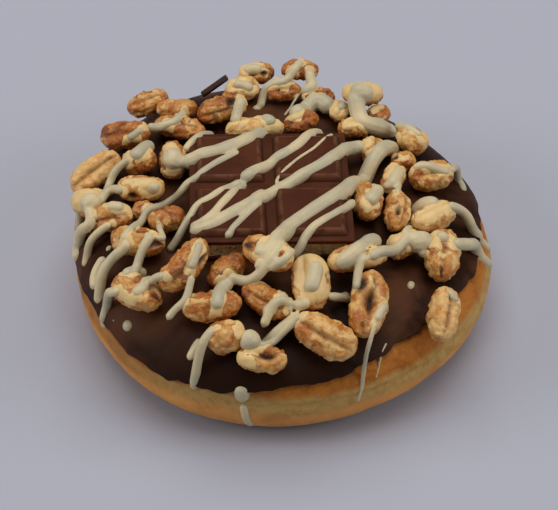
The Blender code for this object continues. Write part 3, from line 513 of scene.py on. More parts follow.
def lay_kernels():
    """Kernels set on the icing and eased apart until each keeps its gap."""
    profiles = {}
    kernels = []
    for x, y, lift, heading, pitch, length, width in KERNELS:
        flat = Vector((math.cos(math.radians(heading)), math.sin(math.radians(heading)), 0))
        ends = []
        for share in (-END_SHARE, 0.0, END_SHARE):
            spot = Vector((x, y, BLOCK_TOP)) + flat * length * share
            for _ in range(6):
                gap, out = skin_gap(spot, profiles)
                spot.z -= (gap - width / 2) / max(out.z, LEAST_RISE)
            ends.append(spot.z)
        slope = math.atan2(ends[2] - ends[0], length * 2 * END_SHARE) + math.radians(pitch)
        axis = flat * math.cos(slope) + Vector((0, 0, math.sin(slope)))
        place = Vector((x, y, max(ends[1], (ends[0] + ends[2]) / 2) + lift))
        kernels.append({"place": place, "axis": axis, "length": length, "radius": width / 2,
                        "free": lift > 0})
    for turn in range(SETTLE_ROUNDS + FREE_ROUNDS):
        for kernel in kernels:
            gaps = [skin_gap(point, profiles) for point in spine(kernel)]
            gap, out = min(gaps, key=lambda item: item[0])
            spare = gap - kernel["radius"] - GAP
            if spare < 0 or (turn < SETTLE_ROUNDS and not kernel["free"]):
                kernel["place"] -= out * max(min(spare, SINK_STEP), -PUSH_STEP)
            gap, out = min((block_gap(point) for point in spine(kernel)), key=lambda item: item[0])
            spare = gap - kernel["radius"] - GAP
            if spare < 0:
                kernel["place"] -= out * max(spare, -PUSH_STEP)
        for i, one in enumerate(kernels):
            for two in kernels[i + 1:]:
                if (one["place"] - two["place"]).length > (one["length"] + two["length"]) / 2 + GAP:
                    continue
                pairs = [(a - b) for a in spine(one) for b in spine(two)]
                apart = min(pairs, key=lambda item: item.length)
                spare = apart.length - one["radius"] - two["radius"] - GAP
                if spare < 0 and apart.length > 0:
                    push = apart.normalized() * max(spare, -PUSH_STEP) / 2
                    one["place"] -= push
                    two["place"] += push
    return kernels


def kernel_point(kernel, number, along, around):
    """Middle, surface point and crease of a kernel; along runs from -1 to 1, around in radians."""
    chance = random.Random(number)
    phases = [chance.uniform(0, 2 * math.pi) for _ in range(4)]
    crease_side = math.pi / 2 + chance.uniform(-CREASE_SWING, CREASE_SWING)
    crease_side = math.radians(CREASES.get(number, math.degrees(crease_side)))
    bend = chance.uniform(-BEND_SHARE, BEND_SHARE) * kernel["length"]
    axis = kernel["axis"]
    side = Vector((0, 0, 1)).cross(axis).normalized()
    up = axis.cross(side)
    fullness = (1 - abs(along) ** KERNEL_BLUNTNESS) ** 0.5
    swell = 1 - 0.02 * (1 + math.sin(2.2 * along + phases[0]))
    swell -= 0.02 * (1 + math.sin(2 * around + 2 * along + phases[1]))
    swell -= 0.015 * (1 + math.sin(3 * around - 3 * along + phases[2]))
    off = (around - crease_side + math.pi) % (2 * math.pi) - math.pi
    crease = math.exp(-(off / FINE_CREASE_WIDTH) ** 2) * (1 - along ** 4)
    swell -= CREASE_DEPTH * math.exp(-(off / CREASE_WIDTH) ** 2) * (1 - along ** 4)
    swell -= FINE_CREASE_DEPTH * crease
    reach = (kernel["radius"] - abs(bend) / 2) * fullness * swell
    middle = kernel["place"] + axis * along * kernel["length"] / 2 + side * bend * (0.5 - along * along)
    return middle, (side * math.cos(around) + up * math.sin(around)) * reach, crease


class Shade:
    """A shader value that Python's operators combine."""

    def __init__(self, finish, socket):
        self.finish = finish
        self.socket = socket

    def __add__(self, other):
        return self.finish.math("ADD", self, other)

    def __sub__(self, other):
        return self.finish.math("SUBTRACT", self, other)

    def __mul__(self, other):
        return self.finish.math("MULTIPLY", self, other)

    def __rsub__(self, other):
        return self.finish.math("SUBTRACT", other, self)

    __radd__ = __add__


class Finish:
    """A procedural material on one Principled shader."""

    def __init__(self, name, **constants):
        self.material = bpy.data.materials.new(name)
        self.material.use_nodes = True
        self.tree = self.material.node_tree
        self.shader = self.tree.nodes["Principled BSDF"]
        for socket, value in constants.items():
            self.shader.inputs[socket.replace("_", " ")].default_value = value

    def node(self, kind, settings=None, sockets=None, output=0):
        """Add a node: its settings first, then the values or links of its sockets."""
        made = self.tree.nodes.new(kind)
        for key, value in (settings or {}).items():
            setattr(made, key, value)
        for key, value in (sockets or {}).items():
            if isinstance(value, Shade):
                self.tree.links.new(value.socket, made.inputs[key])
            else:
                made.inputs[key].default_value = value
        return Shade(self, made.outputs[output])

    def math(self, operation, first, second=0.0):
        """Math node on two values."""
        return self.node("ShaderNodeMath", {"operation": operation}, {0: first, 1: second})

    def mix(self, factor, first, second):
        """Mix two colours."""
        sockets = {0: factor, 6: opaque(first), 7: opaque(second)}
        return self.node("ShaderNodeMix", {"data_type": "RGBA"}, sockets, 2)

    def place(self):
        """Object coordinates."""
        return self.node("ShaderNodeTexCoord", output="Object")

    def axis(self, name, vector=None):
        """One coordinate of the object in metres."""
        return self.node("ShaderNodeSeparateXYZ", None, {0: vector or self.place()}, name)

    def attribute(self, name):
        """A number kept on the piece's points."""
        return self.node("ShaderNodeAttribute", {"attribute_name": name}, output="Fac")

    def clouds(self, size, detail=3.0, roughness=0.5, vector=None, distortion=0.0):
        """Noise with features of a size in millimetres."""
        sockets = {"Vector": vector or self.place(), "Scale": 1 / (size * MM), "Detail": detail,
                   "Roughness": roughness, "Distortion": distortion}
        return self.node("ShaderNodeTexNoise", None, sockets)

    def cells(self, size, vector=None):
        """Distance to scattered points a size in millimetres apart."""
        sockets = {"Vector": vector or self.place(), "Scale": 1 / (size * MM)}
        return self.node("ShaderNodeTexVoronoi", None, sockets)

    def step(self, value, low, high):
        """Smooth 0 to 1 as a value goes from low to high."""
        settings = {"interpolation_type": "SMOOTHSTEP", "clamp": True}
        return self.node("ShaderNodeMapRange", settings, {0: value, 1: low, 2: high, 3: 0.0, 4: 1.0})

    def bump(self, height, depth, below=None):
        """Bump of a depth in millimetres."""
        sockets = {"Height": height, "Distance": depth * MM, "Strength": 1.0}
        if below:
            sockets["Normal"] = below
        return self.node("ShaderNodeBump", None, sockets)

    def feed(self, **links):
        """Link values to the shader."""
        for socket, value in links.items():
            self.tree.links.new(value.socket, self.shader.inputs[socket.replace("_", " ")])
        return self.material


def opaque(color):
    """Colour with its alpha, or a linked value as it is."""
    return color if isinstance(color, Shade) else (*color[:3], 1.0)


def mesh_data(name, mesh):
    """Mesh data of a bmesh, which is freed."""
    data = bpy.data.meshes.new(name)
    mesh.to_mesh(data)
    mesh.free()
    return data


def add_object(name, data):
    """New object in the scene."""
    made = bpy.data.objects.new(name, data)
    bpy.context.scene.collection.objects.link(made)
    return made


def finish_piece(name, mesh, material, replaced):
    """Turn a bmesh in millimetres into a finished piece that rides on the frame."""
    bmesh.ops.scale(mesh, vec=(MM, MM, MM), verts=mesh.verts)
    data = mesh_data(name, mesh)
    for polygon in data.polygons:
        polygon.use_smooth = True
    return dress(add_object(name, data), material, replaced)


def dress(piece, material, replaced):
    """Give a piece its material and its place in the frame."""
    piece.data.materials.clear()
    piece.data.materials.append(material)
    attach(piece, "root")
    if replaced:
        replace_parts(piece, *replaced)
    return piece


def ball(around, rows):
    """Bmesh of a round ball, with each point's angle and its share from bottom to top."""
    mesh = bmesh.new()
    bmesh.ops.create_uvsphere(mesh, u_segments=around, v_segments=rows, radius=1.0)
    spots = []
    for vertex in mesh.verts:
        x, y, z = vertex.co
        spots.append((vertex, math.atan2(y, x), math.asin(min(max(z, -1.0), 1.0)) / math.pi + 0.5))
    return mesh, spots


def make_dough_finish(look):
    """Fried crust: golden above, a pale belt and a brighter foot, which makes up for weak light there."""
    finish = Finish("fried_crust", Specular_IOR_Level=0.15)
    height = finish.axis("Z")
    drift = finish.clouds(24, 2) * 0.005 + finish.clouds(5, 2) * 0.0012
    level = height + drift - 0.0031
    blotch = finish.clouds(7, 4, 0.6)
    fine = finish.clouds(0.9, 4, 0.6)
    crust = finish.mix(finish.step(blotch, 0.35, 0.7), look.crust_color, look.crust_dark_color)
    crust = finish.mix(finish.step(fine, 0.45, 0.75) * 0.35, crust, look.crust_light_color)
    upper = finish.step(level, *BELT_TOP)
    lower = 1 - finish.step(level, *BELT_LOW)
    flecks = finish.step(finish.clouds(2.5, 4, 0.6), 0.4, 0.7)
    belt = finish.mix(flecks, look.belt_color, look.belt_shade_color)
    # The pale belt fades to a quarter towards the left side: painted light.
    fade = finish.step(finish.axis("X"), *BELT_FADE) * 0.75 + 0.25
    color = finish.mix(1 - (1 - upper) * fade, belt, crust)
    # The foot's colour is brightened: painted light for the light that falls short under the doughnut.
    foot = finish.mix(finish.step(blotch, 0.4, 0.75) * 0.6, look.foot_color, look.crust_color)
    foot = finish.mix(finish.step(fine, 0.5, 0.75) * 0.5, foot, look.crust_light_color)
    color = finish.mix(lower, color, foot)
    under = 1 - finish.step(height, 0.0008, 0.004)
    color = finish.mix(under, color, look.crust_dark_color)
    wrinkles = finish.clouds(1.6, 5, 0.55, distortion=0.4)
    dimples = finish.clouds(0.45, 3, 0.5)
    relief = finish.bump(wrinkles, 0.3, finish.bump(dimples, 0.1))
    rough = 0.42 + blotch * 0.25
    return finish.feed(Base_Color=color, Roughness=rough, Normal=relief)


def make_icing_finish(look):
    """Dark icing: satin, faintly streaked, its pale sweeps partly painted sheen; painted shade in front and
    in its pinholes.
    """
    finish = Finish("dark_icing", Specular_IOR_Level=0.1)
    # Paler sweeps: partly streaks in the icing, partly painted sheen.
    sweep = finish.clouds(16, 3, 0.55, distortion=0.8)
    # The paler sweeps fade out towards the front: painted shade there.
    back = finish.step(finish.axis("Y"), *FRONT_SHADE_FADE)
    color = finish.mix(finish.step(sweep, 0.35, 0.65) * back, look.icing_color, look.icing_sweep_and_sheen_color)
    pores = 1 - finish.step(finish.cells(1.9), 0.06, 0.14)
    pores = pores * finish.step(finish.clouds(9, 2), 0.57, 0.66)
    # The pinholes are darkened: painted shade.
    color = finish.mix(pores * 0.6, color, (0.006, 0.003, 0.002))
    relief = finish.bump(finish.clouds(6, 3, 0.5), 0.35, finish.bump(1 - pores, 0.25))
    rough = 0.42 + sweep * 0.18
    return finish.feed(Base_Color=color, Roughness=rough, Normal=relief)


def make_square_finish(look):
    """Milk chocolate: satin, pad rims paler, partly rubbed and partly painted highlight; painted shade in
    grooves; faint scuffs.
    """
    finish = Finish("milk_chocolate", Specular_IOR_Level=0.1)
    haze = finish.clouds(8, 3, 0.6)
    color = finish.mix(finish.step(haze, 0.35, 0.7), look.milk_color, look.milk_light_color)
    # Paler pad rims: partly rubbed chocolate, partly a painted highlight.
    edge_rub_and_highlight = finish.attribute("edge_rub_and_highlight") * finish.step(finish.clouds(2.2, 3), 0.3, 0.6)
    color = finish.mix(edge_rub_and_highlight * 0.6, color, look.milk_edge_rub_and_highlight_color)
    # Grooves between and round the pads are darkened: painted shade.
    color = finish.mix(finish.attribute("deep") * 0.75, color, look.icing_color)
    scuffs = finish.clouds(0.5, 4, 0.6)
    relief = finish.bump(scuffs, 0.05, finish.bump(finish.clouds(3, 2), 0.12))
    rough = 0.4 + haze * 0.15
    return finish.feed(Base_Color=color, Roughness=rough, Normal=relief)


def make_filling_finish(look):
    """Pale porous filling with small pits darkened by painted shade."""
    finish = Finish("pale_filling", Roughness=0.8, Specular_IOR_Level=0.25)
    crumb = finish.clouds(0.7, 5, 0.65)
    pits = 1 - finish.step(finish.cells(1.1), 0.12, 0.3)
    color = finish.mix(finish.step(crumb, 0.35, 0.65), look.filling_color, look.filling_dark_color)
    # The pits are darkened: painted shade.
    color = finish.mix(pits * 0.7, color, look.filling_pit_shade_color)
    relief = finish.bump(crumb, 0.3, finish.bump(1 - pits, 0.4))
    return finish.feed(Base_Color=color, Normal=relief)


def make_kernel_finish(look, number):
    """Puffed grain: beige with toasted patches, a dark crease, hollows with painted shade and a thin glaze.
    """
    finish = Finish(f"puffed_grain_{number:02d}", Specular_IOR_Level=0.35, Coat_Weight=0.1,
                    Coat_Roughness=0.3)
    offset = (number * 0.013, 0.0, number * 0.007)
    spread = finish.node("ShaderNodeMapping", None, {0: finish.place(), 1: offset})
    tone = TONES.get(number, 0.0)
    patch = finish.clouds(3.6, 3, 0.6, spread, 0.6)
    grain = finish.clouds(0.7, 4, 0.65, spread)
    pale = finish.step(finish.clouds(2.6, 4, 0.6, spread, 0.3), 0.42 + tone, 0.62 + tone)
    color = finish.mix(pale, look.grain_color, look.grain_light_color)
    color = finish.mix(finish.step(patch, 0.46 - tone, 0.6 - tone) * 0.9, color, look.toast_color)
    color = finish.mix(finish.step(grain, 0.5, 0.72) * 0.4, color, look.grain_light_color)
    brown = finish.step(finish.clouds(4.2, 4, 0.65, spread, 0.4), 0.6 - tone, 0.67 - tone)
    color = finish.mix(brown * 0.8, color, look.toast_dark_color)
    color = finish.mix(finish.attribute("crease") * 0.85, color, look.toast_dark_color)
    # Hollows are darkened: painted shade.
    color = finish.mix(finish.attribute("hollow"), color, look.hollow_shade_color)
    coat = finish.step(finish.attribute("coat") + grain * 0.3, 0.35, 0.95)
    color = finish.mix(coat * 0.85, color, look.coat_color)
    bare = 1 - coat * 0.75
    relief = finish.bump(grain * bare, 0.22, finish.bump(finish.clouds(1.5, 3, 0.6, spread) * bare, 0.35))
    rough = 0.5 - patch * 0.15
    return finish.feed(Base_Color=color, Roughness=rough, Normal=relief)


def make_drizzle_finish(look):
    """White-chocolate drizzle: creamy, with slow changes of shade."""
    finish = Finish("white_chocolate", Specular_IOR_Level=0.5)
    haze = finish.clouds(9, 3, 0.55)
    color = finish.mix(finish.step(haze, 0.35, 0.68), look.drizzle_color, look.drizzle_warm_color)
    relief = finish.bump(finish.clouds(1.6, 3), 0.16)
    rough = 0.38 + haze * 0.15
    return finish.feed(Base_Color=color, Roughness=rough, Normal=relief)


def make_shard_finish(look):
    """Broken dark chocolate."""
    finish = Finish("broken_chocolate", Specular_IOR_Level=0.45)
    grain = finish.clouds(0.9, 4, 0.6)
    color = finish.mix(grain, look.icing_color, look.milk_color)
    return finish.feed(Base_Color=color, Roughness=0.4 + grain * 0.3, Normal=finish.bump(grain, 0.15))


def tint(name, description, default):
    """Colour property with a swatch in the panel."""
    return FloatVectorProperty(name=name, description=description, default=default,
                               subtype="COLOR", min=0, max=1)


class DoughnutLook(bpy.types.PropertyGroup):
    """Colours of the doughnut."""

    crust_color: tint("Crust", "Fried crust", (0.48, 0.160, 0.020))
    crust_dark_color: tint("Dark crust", "Browner patches", (0.31, 0.090, 0.010))
    crust_light_color: tint("Light crust", "Paler flecks", (0.60, 0.265, 0.055))
    belt_color: tint("Belt", "Pale belt", (0.56, 0.34, 0.105))
    belt_shade_color: tint("Belt shade", "Darker flecks of the belt", (0.45, 0.23, 0.058))
    # Brightened foot colour: painted light under the doughnut.
    foot_color: tint("Foot", "Crust below the belt", (0.80, 0.355, 0.085))
    icing_color: tint("Icing", "Dark icing", (0.022, 0.0070, 0.0026))
    # Paler sweeps of the icing: partly streaks, partly painted sheen.
    icing_sweep_and_sheen_color: tint("Icing haze", "Paler sweeps of the icing", (0.105, 0.037, 0.0145))
    milk_color: tint("Milk chocolate", "The square", (0.068, 0.0175, 0.0062))
    milk_light_color: tint("Milk haze", "Paler parts of the square", (0.095, 0.027, 0.0105))
    # Pad rims: partly rubbed, partly a painted highlight.
    milk_edge_rub_and_highlight_color: tint("Edge rub and highlight", "Rubbed edges of the pads, partly painted highlight", (0.20, 0.082, 0.042))
    filling_color: tint("Filling", "Pale filling", (0.84, 0.62, 0.32))
    filling_dark_color: tint("Filling shade", "Darker crumb", (0.56, 0.37, 0.17))
    # Pit colour: painted shade.
    filling_pit_shade_color: tint("Filling pits", "Dark pits", (0.20, 0.10, 0.04))
    grain_color: tint("Grain", "Puffed wheat", (0.63, 0.268, 0.053))
    grain_light_color: tint("Pale grain", "Palest grain", (0.83, 0.50, 0.18))
    toast_color: tint("Toast", "Toasted patches", (0.44, 0.115, 0.014))
    toast_dark_color: tint("Dark toast", "Bran and creases", (0.19, 0.05, 0.009))
    coat_color: tint("Coat", "Drizzle on the puffed wheat", (0.85, 0.60, 0.26))
    # Hollow colour: painted shade inside the hollows.
    hollow_shade_color: tint("Hollow", "Inside of the hollows", (0.035, 0.012, 0.006))
    drizzle_color: tint("Drizzle", "White chocolate", (0.51, 0.445, 0.29))
    drizzle_warm_color: tint("Warm drizzle", "Warmer parts", (0.71, 0.57, 0.325))
    floor_color: tint("Floor", "Plain floor", (0.46, 0.465, 0.53))


class DoughnutSizes(bpy.types.PropertyGroup):
    """Small sizes of the looks that the solids leave out."""

    groove_depth: FloatProperty(name="Belt groove", description="Depth of the groove round the belt",
                                default=0.0005, min=0, max=0.002, unit="LENGTH")
    dough_lump: FloatProperty(name="Dough lumps", description="Height of slow lumps in the dough",
                              default=0.0004, min=0, max=0.002, unit="LENGTH")
    grain_lump: FloatProperty(name="Grain lumps", description="Height of lumps on the kernels",
                              default=0.0004, min=0, max=0.001, unit="LENGTH")
    strand_waver: FloatProperty(name="Strand waver", description="Share by which strands swell and thin",
                                default=0.12, min=0, max=0.5)
    light_width: FloatProperty(name="Light width", description="Side of the overhead light",
                               default=1.5, min=0.1, max=3, unit="LENGTH")


def look():
    """Colours chosen in the panel."""
    return bpy.context.scene.doughnut_look


def sizes():
    """Sizes chosen in the panel."""
    return bpy.context.scene.doughnut_sizes


class DOUGHNUT_OT_dough(bpy.types.Operator):
    """Round raised dough with a belt and its groove"""

    bl_idname = "doughnut.dough"
    bl_label = "Dough"

    def execute(self, context):
        groove = sizes().groove_depth / MM
        swell = sizes().dough_lump / MM
        mesh, spots = ball(*DOUGH_MESH)
        for vertex, angle, share in spots:
            if share < FOOT_SHARE:
                if share < SOLE_SHARE:
                    place = foot_point(angle, 0.0) * (share / SOLE_SHARE)
                else:
                    place = foot_point(angle, (share - SOLE_SHARE) / (FOOT_SHARE - SOLE_SHARE))
                inset = 0.0
            else:
                up = (share - FOOT_SHARE) / (1 - FOOT_SHARE)
                cover = icing_edge(angle)
                rise = 1 - (1 - up) ** ROW_EASE
                place = crown_point(angle, rise, 0)
                inset = INSET_UNDER_ICING * smooth((rise - cover) / INSET_RUN)
            out = Vector((math.cos(angle), math.sin(angle), 0))
            side = smooth((place.z - 1.5) / 4)
            line = BELT_HEIGHT + GROOVE_RISE + GROOVE_WANDER * lump((place.x, place.y, 0), 14, 3.0)
            dip = groove * math.exp(-((place.z - line) / GROOVE_WIDTH) ** 2)
            dip = dip * (0.7 + 0.5 * lump(place, 9, 5.0))
            ripple = swell * lump(place, 11, 1.0) + swell * 0.35 * lump(place, 3.2, 2.0) - swell * 0.5
            vertex.co = place - out * (dip + inset) + out * side * ripple
        finish_piece("dough_piece", mesh, make_dough_finish(look()), ["dough"])
        return {"FINISHED"}


class DOUGHNUT_OT_icing(bpy.types.Operator):
    """Dark icing with a rounded, uneven edge"""

    bl_idname = "doughnut.icing"
    bl_label = "Icing"

    def execute(self, context):
        mesh, spots = ball(*ICING_MESH)
        for vertex, angle, share in spots:
            if share < LIP_LOW:
                place = above_edge(angle, 1 - share / LIP_LOW, GAP * LIP_UNDERSIDE)
            elif share < LIP_HIGH:
                turn = (share - LIP_LOW) / (LIP_HIGH - LIP_LOW) * math.pi
                reach = math.sin(turn) * LIP_REACH
                proud = (GAP * 0.7 + ICING_THICKNESS) * (0.5 - 0.5 * math.cos(turn)) * 0.9
                proud = GAP * LIP_UNDERSIDE + proud
                rim = above_edge(angle, 0.0, proud)
                place = rim + (rim - above_edge(angle, LIP_PROBE, proud)) * reach / LIP_PROBE
            else:
                up = (share - LIP_HIGH) / (1 - LIP_HIGH)
                thin = 1 - LIP_THINNING * (1 - smooth(up / 0.06))
                proud = (GAP + ICING_THICKNESS) * thin
                place = above_edge(angle, up, proud)
                place.z += ICING_SWELL * lump(place, 8, 4.0) * smooth(up / 0.1)
            vertex.co = place
        finish_piece("icing_piece", mesh, make_icing_finish(look()), ["icing"])
        return {"FINISHED"}


def add_slab(mesh, box, rounding, low_box=None):
    """Bevelled body of the square's own axes: x0, x1, y0, y1, and depths of its top and bottom."""
    x0, x1, y0, y1, top, bottom = box
    made = bmesh.ops.create_cube(mesh, size=2.0)["verts"]
    for vertex in made:
        a0, a1, b0, b1 = (x0, x1, y0, y1) if vertex.co.z > 0 or not low_box else low_box
        lx = a1 if vertex.co.x > 0 else a0
        ly = b1 if vertex.co.y > 0 else b0
        vertex.co = block_point(lx, ly, top if vertex.co.z > 0 else bottom)
    edges = list({edge for vertex in made for edge in vertex.link_edges})
    bmesh.ops.bevel(mesh, geom=edges, offset=rounding, segments=3, profile=0.5, affect="EDGES", material=-1)


def pads():
    """Boxes of the four pads in the square's own axes."""
    half = BLOCK_SIDE / 2
    spans = ((-half + PAD_LEDGE, -PAD_GROOVE / 2), (PAD_GROOVE / 2, half - PAD_LEDGE))
    return [(x0, x1, y0, y1) for x0, x1 in spans for y0, y1 in spans]


class DOUGHNUT_OT_square(bpy.types.Operator):
    """Milk-chocolate square with four pads, open at its broken front"""

    bl_idname = "doughnut.square"
    bl_label = "Chocolate square"

    def execute(self, context):
        half = BLOCK_SIDE / 2
        mesh = bmesh.new()
        add_slab(mesh, (-half, half, -half, half, PAD_HEIGHT, PAD_HEIGHT + ROOF), 0.35)
        add_slab(mesh, (-half, half, -half + 0.3, half, BLOCK_HEIGHT - SOLE, BLOCK_HEIGHT), 0.3)
        walls = ((-half, -half + WALL, -half + 0.1, half), (half - WALL, half, -half + 0.1, half),
                 (-half, half, half - WALL, half))
        for x0, x1, y0, y1 in walls:
            add_slab(mesh, (x0, x1, y0, y1, PAD_HEIGHT + 0.4, BLOCK_HEIGHT - 0.3), 0.3)
        for x0, x1, y0, y1 in pads():
            high = (x0 + PAD_SLOPE, x1 - PAD_SLOPE, y0 + PAD_SLOPE, y1 - PAD_SLOPE, 0.0, PAD_HEIGHT + 0.3)
            add_slab(mesh, high, 0.35, (x0, x1, y0, y1))
        piece = finish_piece("square_piece", mesh, make_square_finish(look()), ["block_shell"])
        piece.data.attributes.new("edge_rub_and_highlight", "FLOAT", "POINT")
        piece.data.attributes.new("deep", "FLOAT", "POINT")
        edge_rub_and_highlight, deep = piece.data.attributes["edge_rub_and_highlight"].data, piece.data.attributes["deep"].data
        for vertex in piece.data.vertices:
            lx, ly = block_local(vertex.co.x / MM, vertex.co.y / MM)
            down = block_point(lx, ly, 0).z - vertex.co.z / MM
            inside = max(abs(lx), abs(ly)) < half - PAD_LEDGE / 2
            # Pad rims take the paler colour: partly rubbing, partly a painted highlight.
            edge_rub_and_highlight[vertex.index].value = 1.0 if inside and 0.02 < down < 0.5 else 0.0
            # Groove floors and pad bases take the painted shade.
            deep[vertex.index].value = 1.0 if inside and down > PAD_HEIGHT - 0.3 else 0.0
        for polygon in piece.data.polygons:
            polygon.use_smooth = polygon.area < (3 * MM) ** 2
        return {"FINISHED"}


class DOUGHNUT_OT_filling(bpy.types.Operator):
    """Pale filling with a torn front face"""

    bl_idname = "doughnut.filling"
    bl_label = "Filling"

    def execute(self, context):
        side = BLOCK_SIDE / 2 - WALL - GAP
        front = -BLOCK_SIDE / 2 + 0.2
        mesh = bmesh.new()
        add_slab(mesh, (-side, side, front, side, PAD_HEIGHT + ROOF + 0.1, BLOCK_HEIGHT - SOLE - 0.1), 0.25)
        bmesh.ops.triangulate(mesh, faces=mesh.faces)
        bmesh.ops.subdivide_edges(mesh, edges=mesh.edges, cuts=1, use_grid_fill=True)
        for _ in range(5):
            long = [edge for edge in mesh.edges if edge.calc_length() > 0.8
                    and all(block_local(*v.co.xy)[1] < front + 0.6 for v in edge.verts)]
            bmesh.ops.subdivide_edges(mesh, edges=long, cuts=1)
        bmesh.ops.triangulate(mesh, faces=mesh.faces)
        for vertex in mesh.verts:
            if block_local(*vertex.co.xy)[1] < front + 0.3:
                vertex.co.y += 0.25 + 0.3 * lump(vertex.co, 1.6, 2.0) + 0.2 * lump(vertex.co, 0.6, 7.0)
        finish_piece("filling_piece", mesh, make_filling_finish(look()), ["block_filling"])
        return {"FINISHED"}


class DOUGHNUT_OT_shard(bpy.types.Operator):
    """Broken piece of dark chocolate"""

    bl_idname = "doughnut.shard"
    bl_label = "Shard"

    def execute(self, context):
        long = Vector(SHARD_LONG).normalized()
        deep = (Vector(SHARD_DEEP) - long * long.dot(Vector(SHARD_DEEP))).normalized()
        thick = long.cross(deep)
        mesh = bmesh.new()
        bmesh.ops.create_cube(mesh, size=1.0)
        bmesh.ops.bevel(mesh, geom=mesh.edges[:], offset=0.06, segments=2, profile=0.5, affect="EDGES",
                        material=-1)
        bmesh.ops.subdivide_edges(mesh, edges=mesh.edges, cuts=7, use_grid_fill=True)
        for vertex in mesh.verts:
            x, y, z = vertex.co
            place = Vector(SHARD_PLACE) + long * z * SHARD_LENGTH * 0.96
            place += deep * x * SHARD_DEPTH * 0.95 + thick * y * SHARD_THICKNESS * 0.9
            vertex.co = place + deep * 0.25 * lump(place, 1.8, 6.0) * abs(z) * 2
        finish_piece("shard_piece", mesh, make_shard_finish(look()), ["chocolate_shard"])
        return {"FINISHED"}


def boxed(point, lower=0.0):
    """Point in millimetres, kept inside the box of the solids, and so far below its top."""
    place = Vector(min(max(c, low / MM), high / MM) for c, low, high in zip(point, *CAD_BOX))
    place.z = min(place.z, CAD_BOX[1][2] / MM - lower)
    return place


def strand_tree():
    """Plan places along every strand, and the strand's half width at each."""
    spots = [(sample, half_width) for half_width, *points in STRANDS
             for sample in sample_route(half_width, points)]
    tree = KDTree(len(spots))
    for index, (sample, _) in enumerate(spots):
        tree.insert((sample.x, sample.y, 0), index)
    tree.balance()
    return tree, [half_width for _, half_width in spots]


def coat_at(place, out, number, tree, widths):
    """How thickly drizzle coats a kernel at a spot: beside strands, and on its upper face."""
    _, index, distance = tree.find((place.x, place.y, 0))
    beyond = distance - widths[index] + 0.9 * lump(place, 1.8, 30)
    beside = (1 - smooth((beyond + 0.2) / 0.7)) * smooth((out.z + 0.2) / 0.5)
    above = out.z + 0.45 * lump(place, 3.0, 40) + 0.25 * lump(place, 1.1, 60)
    return max(beside, smooth((above - 1.6 + 1.6 * COATS[number - 1]) / 0.3))


def puff(place, number):
    """Height of the puffed skin: bulging cells parted by fine valleys, 0 at the solid's surface."""
    return 2.0 * abs(lump(place, 1.9, number)) + 1.1 * abs(lump(place, 0.8, number + 50)) - 0.9


def hollow_at(number, along, around):
    """How deep a kernel's hollows are at a spot, and how strongly painted shade darkens them."""
    depth = dark = 0.0
    for owner, place, turn, deep, width in HOLLOWS:
        if owner == number:
            off = (around - math.radians(turn) + math.pi) % (2 * math.pi) - math.pi
            reach = math.hypot((along - place) * 1.5, math.sin(off)) / width
            if abs(off) < math.pi / 2:
                depth = max(depth, deep * math.exp(-reach ** 4))
                dark = max(dark, math.exp(-(reach * 1.05) ** 4))
    return depth, dark


class DOUGHNUT_OT_kernels(bpy.types.Operator):
    """Puffed wheat kernels, each with its crease, lumps and hollows"""

    bl_idname = "doughnut.kernels"
    bl_label = "Puffed wheat"

    def execute(self, context):
        height = sizes().grain_lump / MM
        tree, widths = strand_tree()
        for number, kernel in enumerate(lay_kernels(), 1):
            mesh, spots = ball(*KERNEL_MESH)
            marks = []
            for vertex, turn, share in spots:
                along = -math.cos(math.pi * share)
                around = turn % (2 * math.pi)
                middle, out, crease = kernel_point(kernel, number, along, around)
                depth, dark = hollow_at(number, along, around)
                size = out.length
                way = (out + kernel["axis"] * along ** 3 * kernel["radius"]).normalized()
                coat = coat_at(middle + out, way, number, tree, widths) * (1 - dark)
                rise = puff(middle + out, number) * height * (1 - 0.6 * coat) + COAT_THICKNESS * coat
                out.normalize()
                spot = middle + out * max(size * (1 - depth) + rise * min(size, 1.0), 0.0)
                vertex.co = boxed(spot + way * KERNEL_SPREAD, CEILING_GAP)
                marks.append((crease * (0.7 + 0.5 * lump(middle + out * size, 1.5, 9.0)), dark, coat))
            name = f"puffed_wheat_{number:02d}"
            node = f"kernel_{number:02d}"
            piece = finish_piece(name, mesh, make_kernel_finish(look(), number), [node])
            for index, label in enumerate(("crease", "hollow", "coat")):
                attribute = piece.data.attributes.new(label, "FLOAT", "POINT")
                attribute.data.foreach_set("value", [min(max(mark[index], 0.0), 1.0) for mark in marks])
        return {"FINISHED"}


def sample_route(half_width, points):
    """Even samples of a smooth curve through a strand's points; a drop is stretched to its width."""
    knots = [Vector((point[0], point[1], point[2] if len(point) > 2 else -1.0)) for point in points]
    length = sum((b - a).length for a, b in zip(knots, knots[1:]))
    stretch = max(2 * half_width / length, 1.0)
    middle = (knots[0] + knots[-1]) / 2
    knots = [middle + (knot - middle) * stretch for knot in knots]
    ends = [knots[0] * 2 - knots[1]] + knots + [knots[-1] * 2 - knots[-2]]
    samples = []
    for i in range(len(knots) - 1):
        a, b, c, d = ends[i:i + 4]
        drop_length = abs(c.z - b.z) if min(b.z, c.z) > 0 else 0.0
        count = max(2, round(((c.xy - b.xy).length + drop_length) / STRAND_STEP))
        for step in range(count):
            t = step / count
            curve = (2 * b + (c - a) * t + (2 * a - 5 * b + 4 * c - d) * t * t
                     + (3 * b - a - 3 * c + d) * t ** 3) / 2
            curve.z = b.z + (c.z - b.z) * t if min(b.z, c.z) > 0 else -1.0
            samples.append(curve)
    samples.append(knots[-1])
    return samples


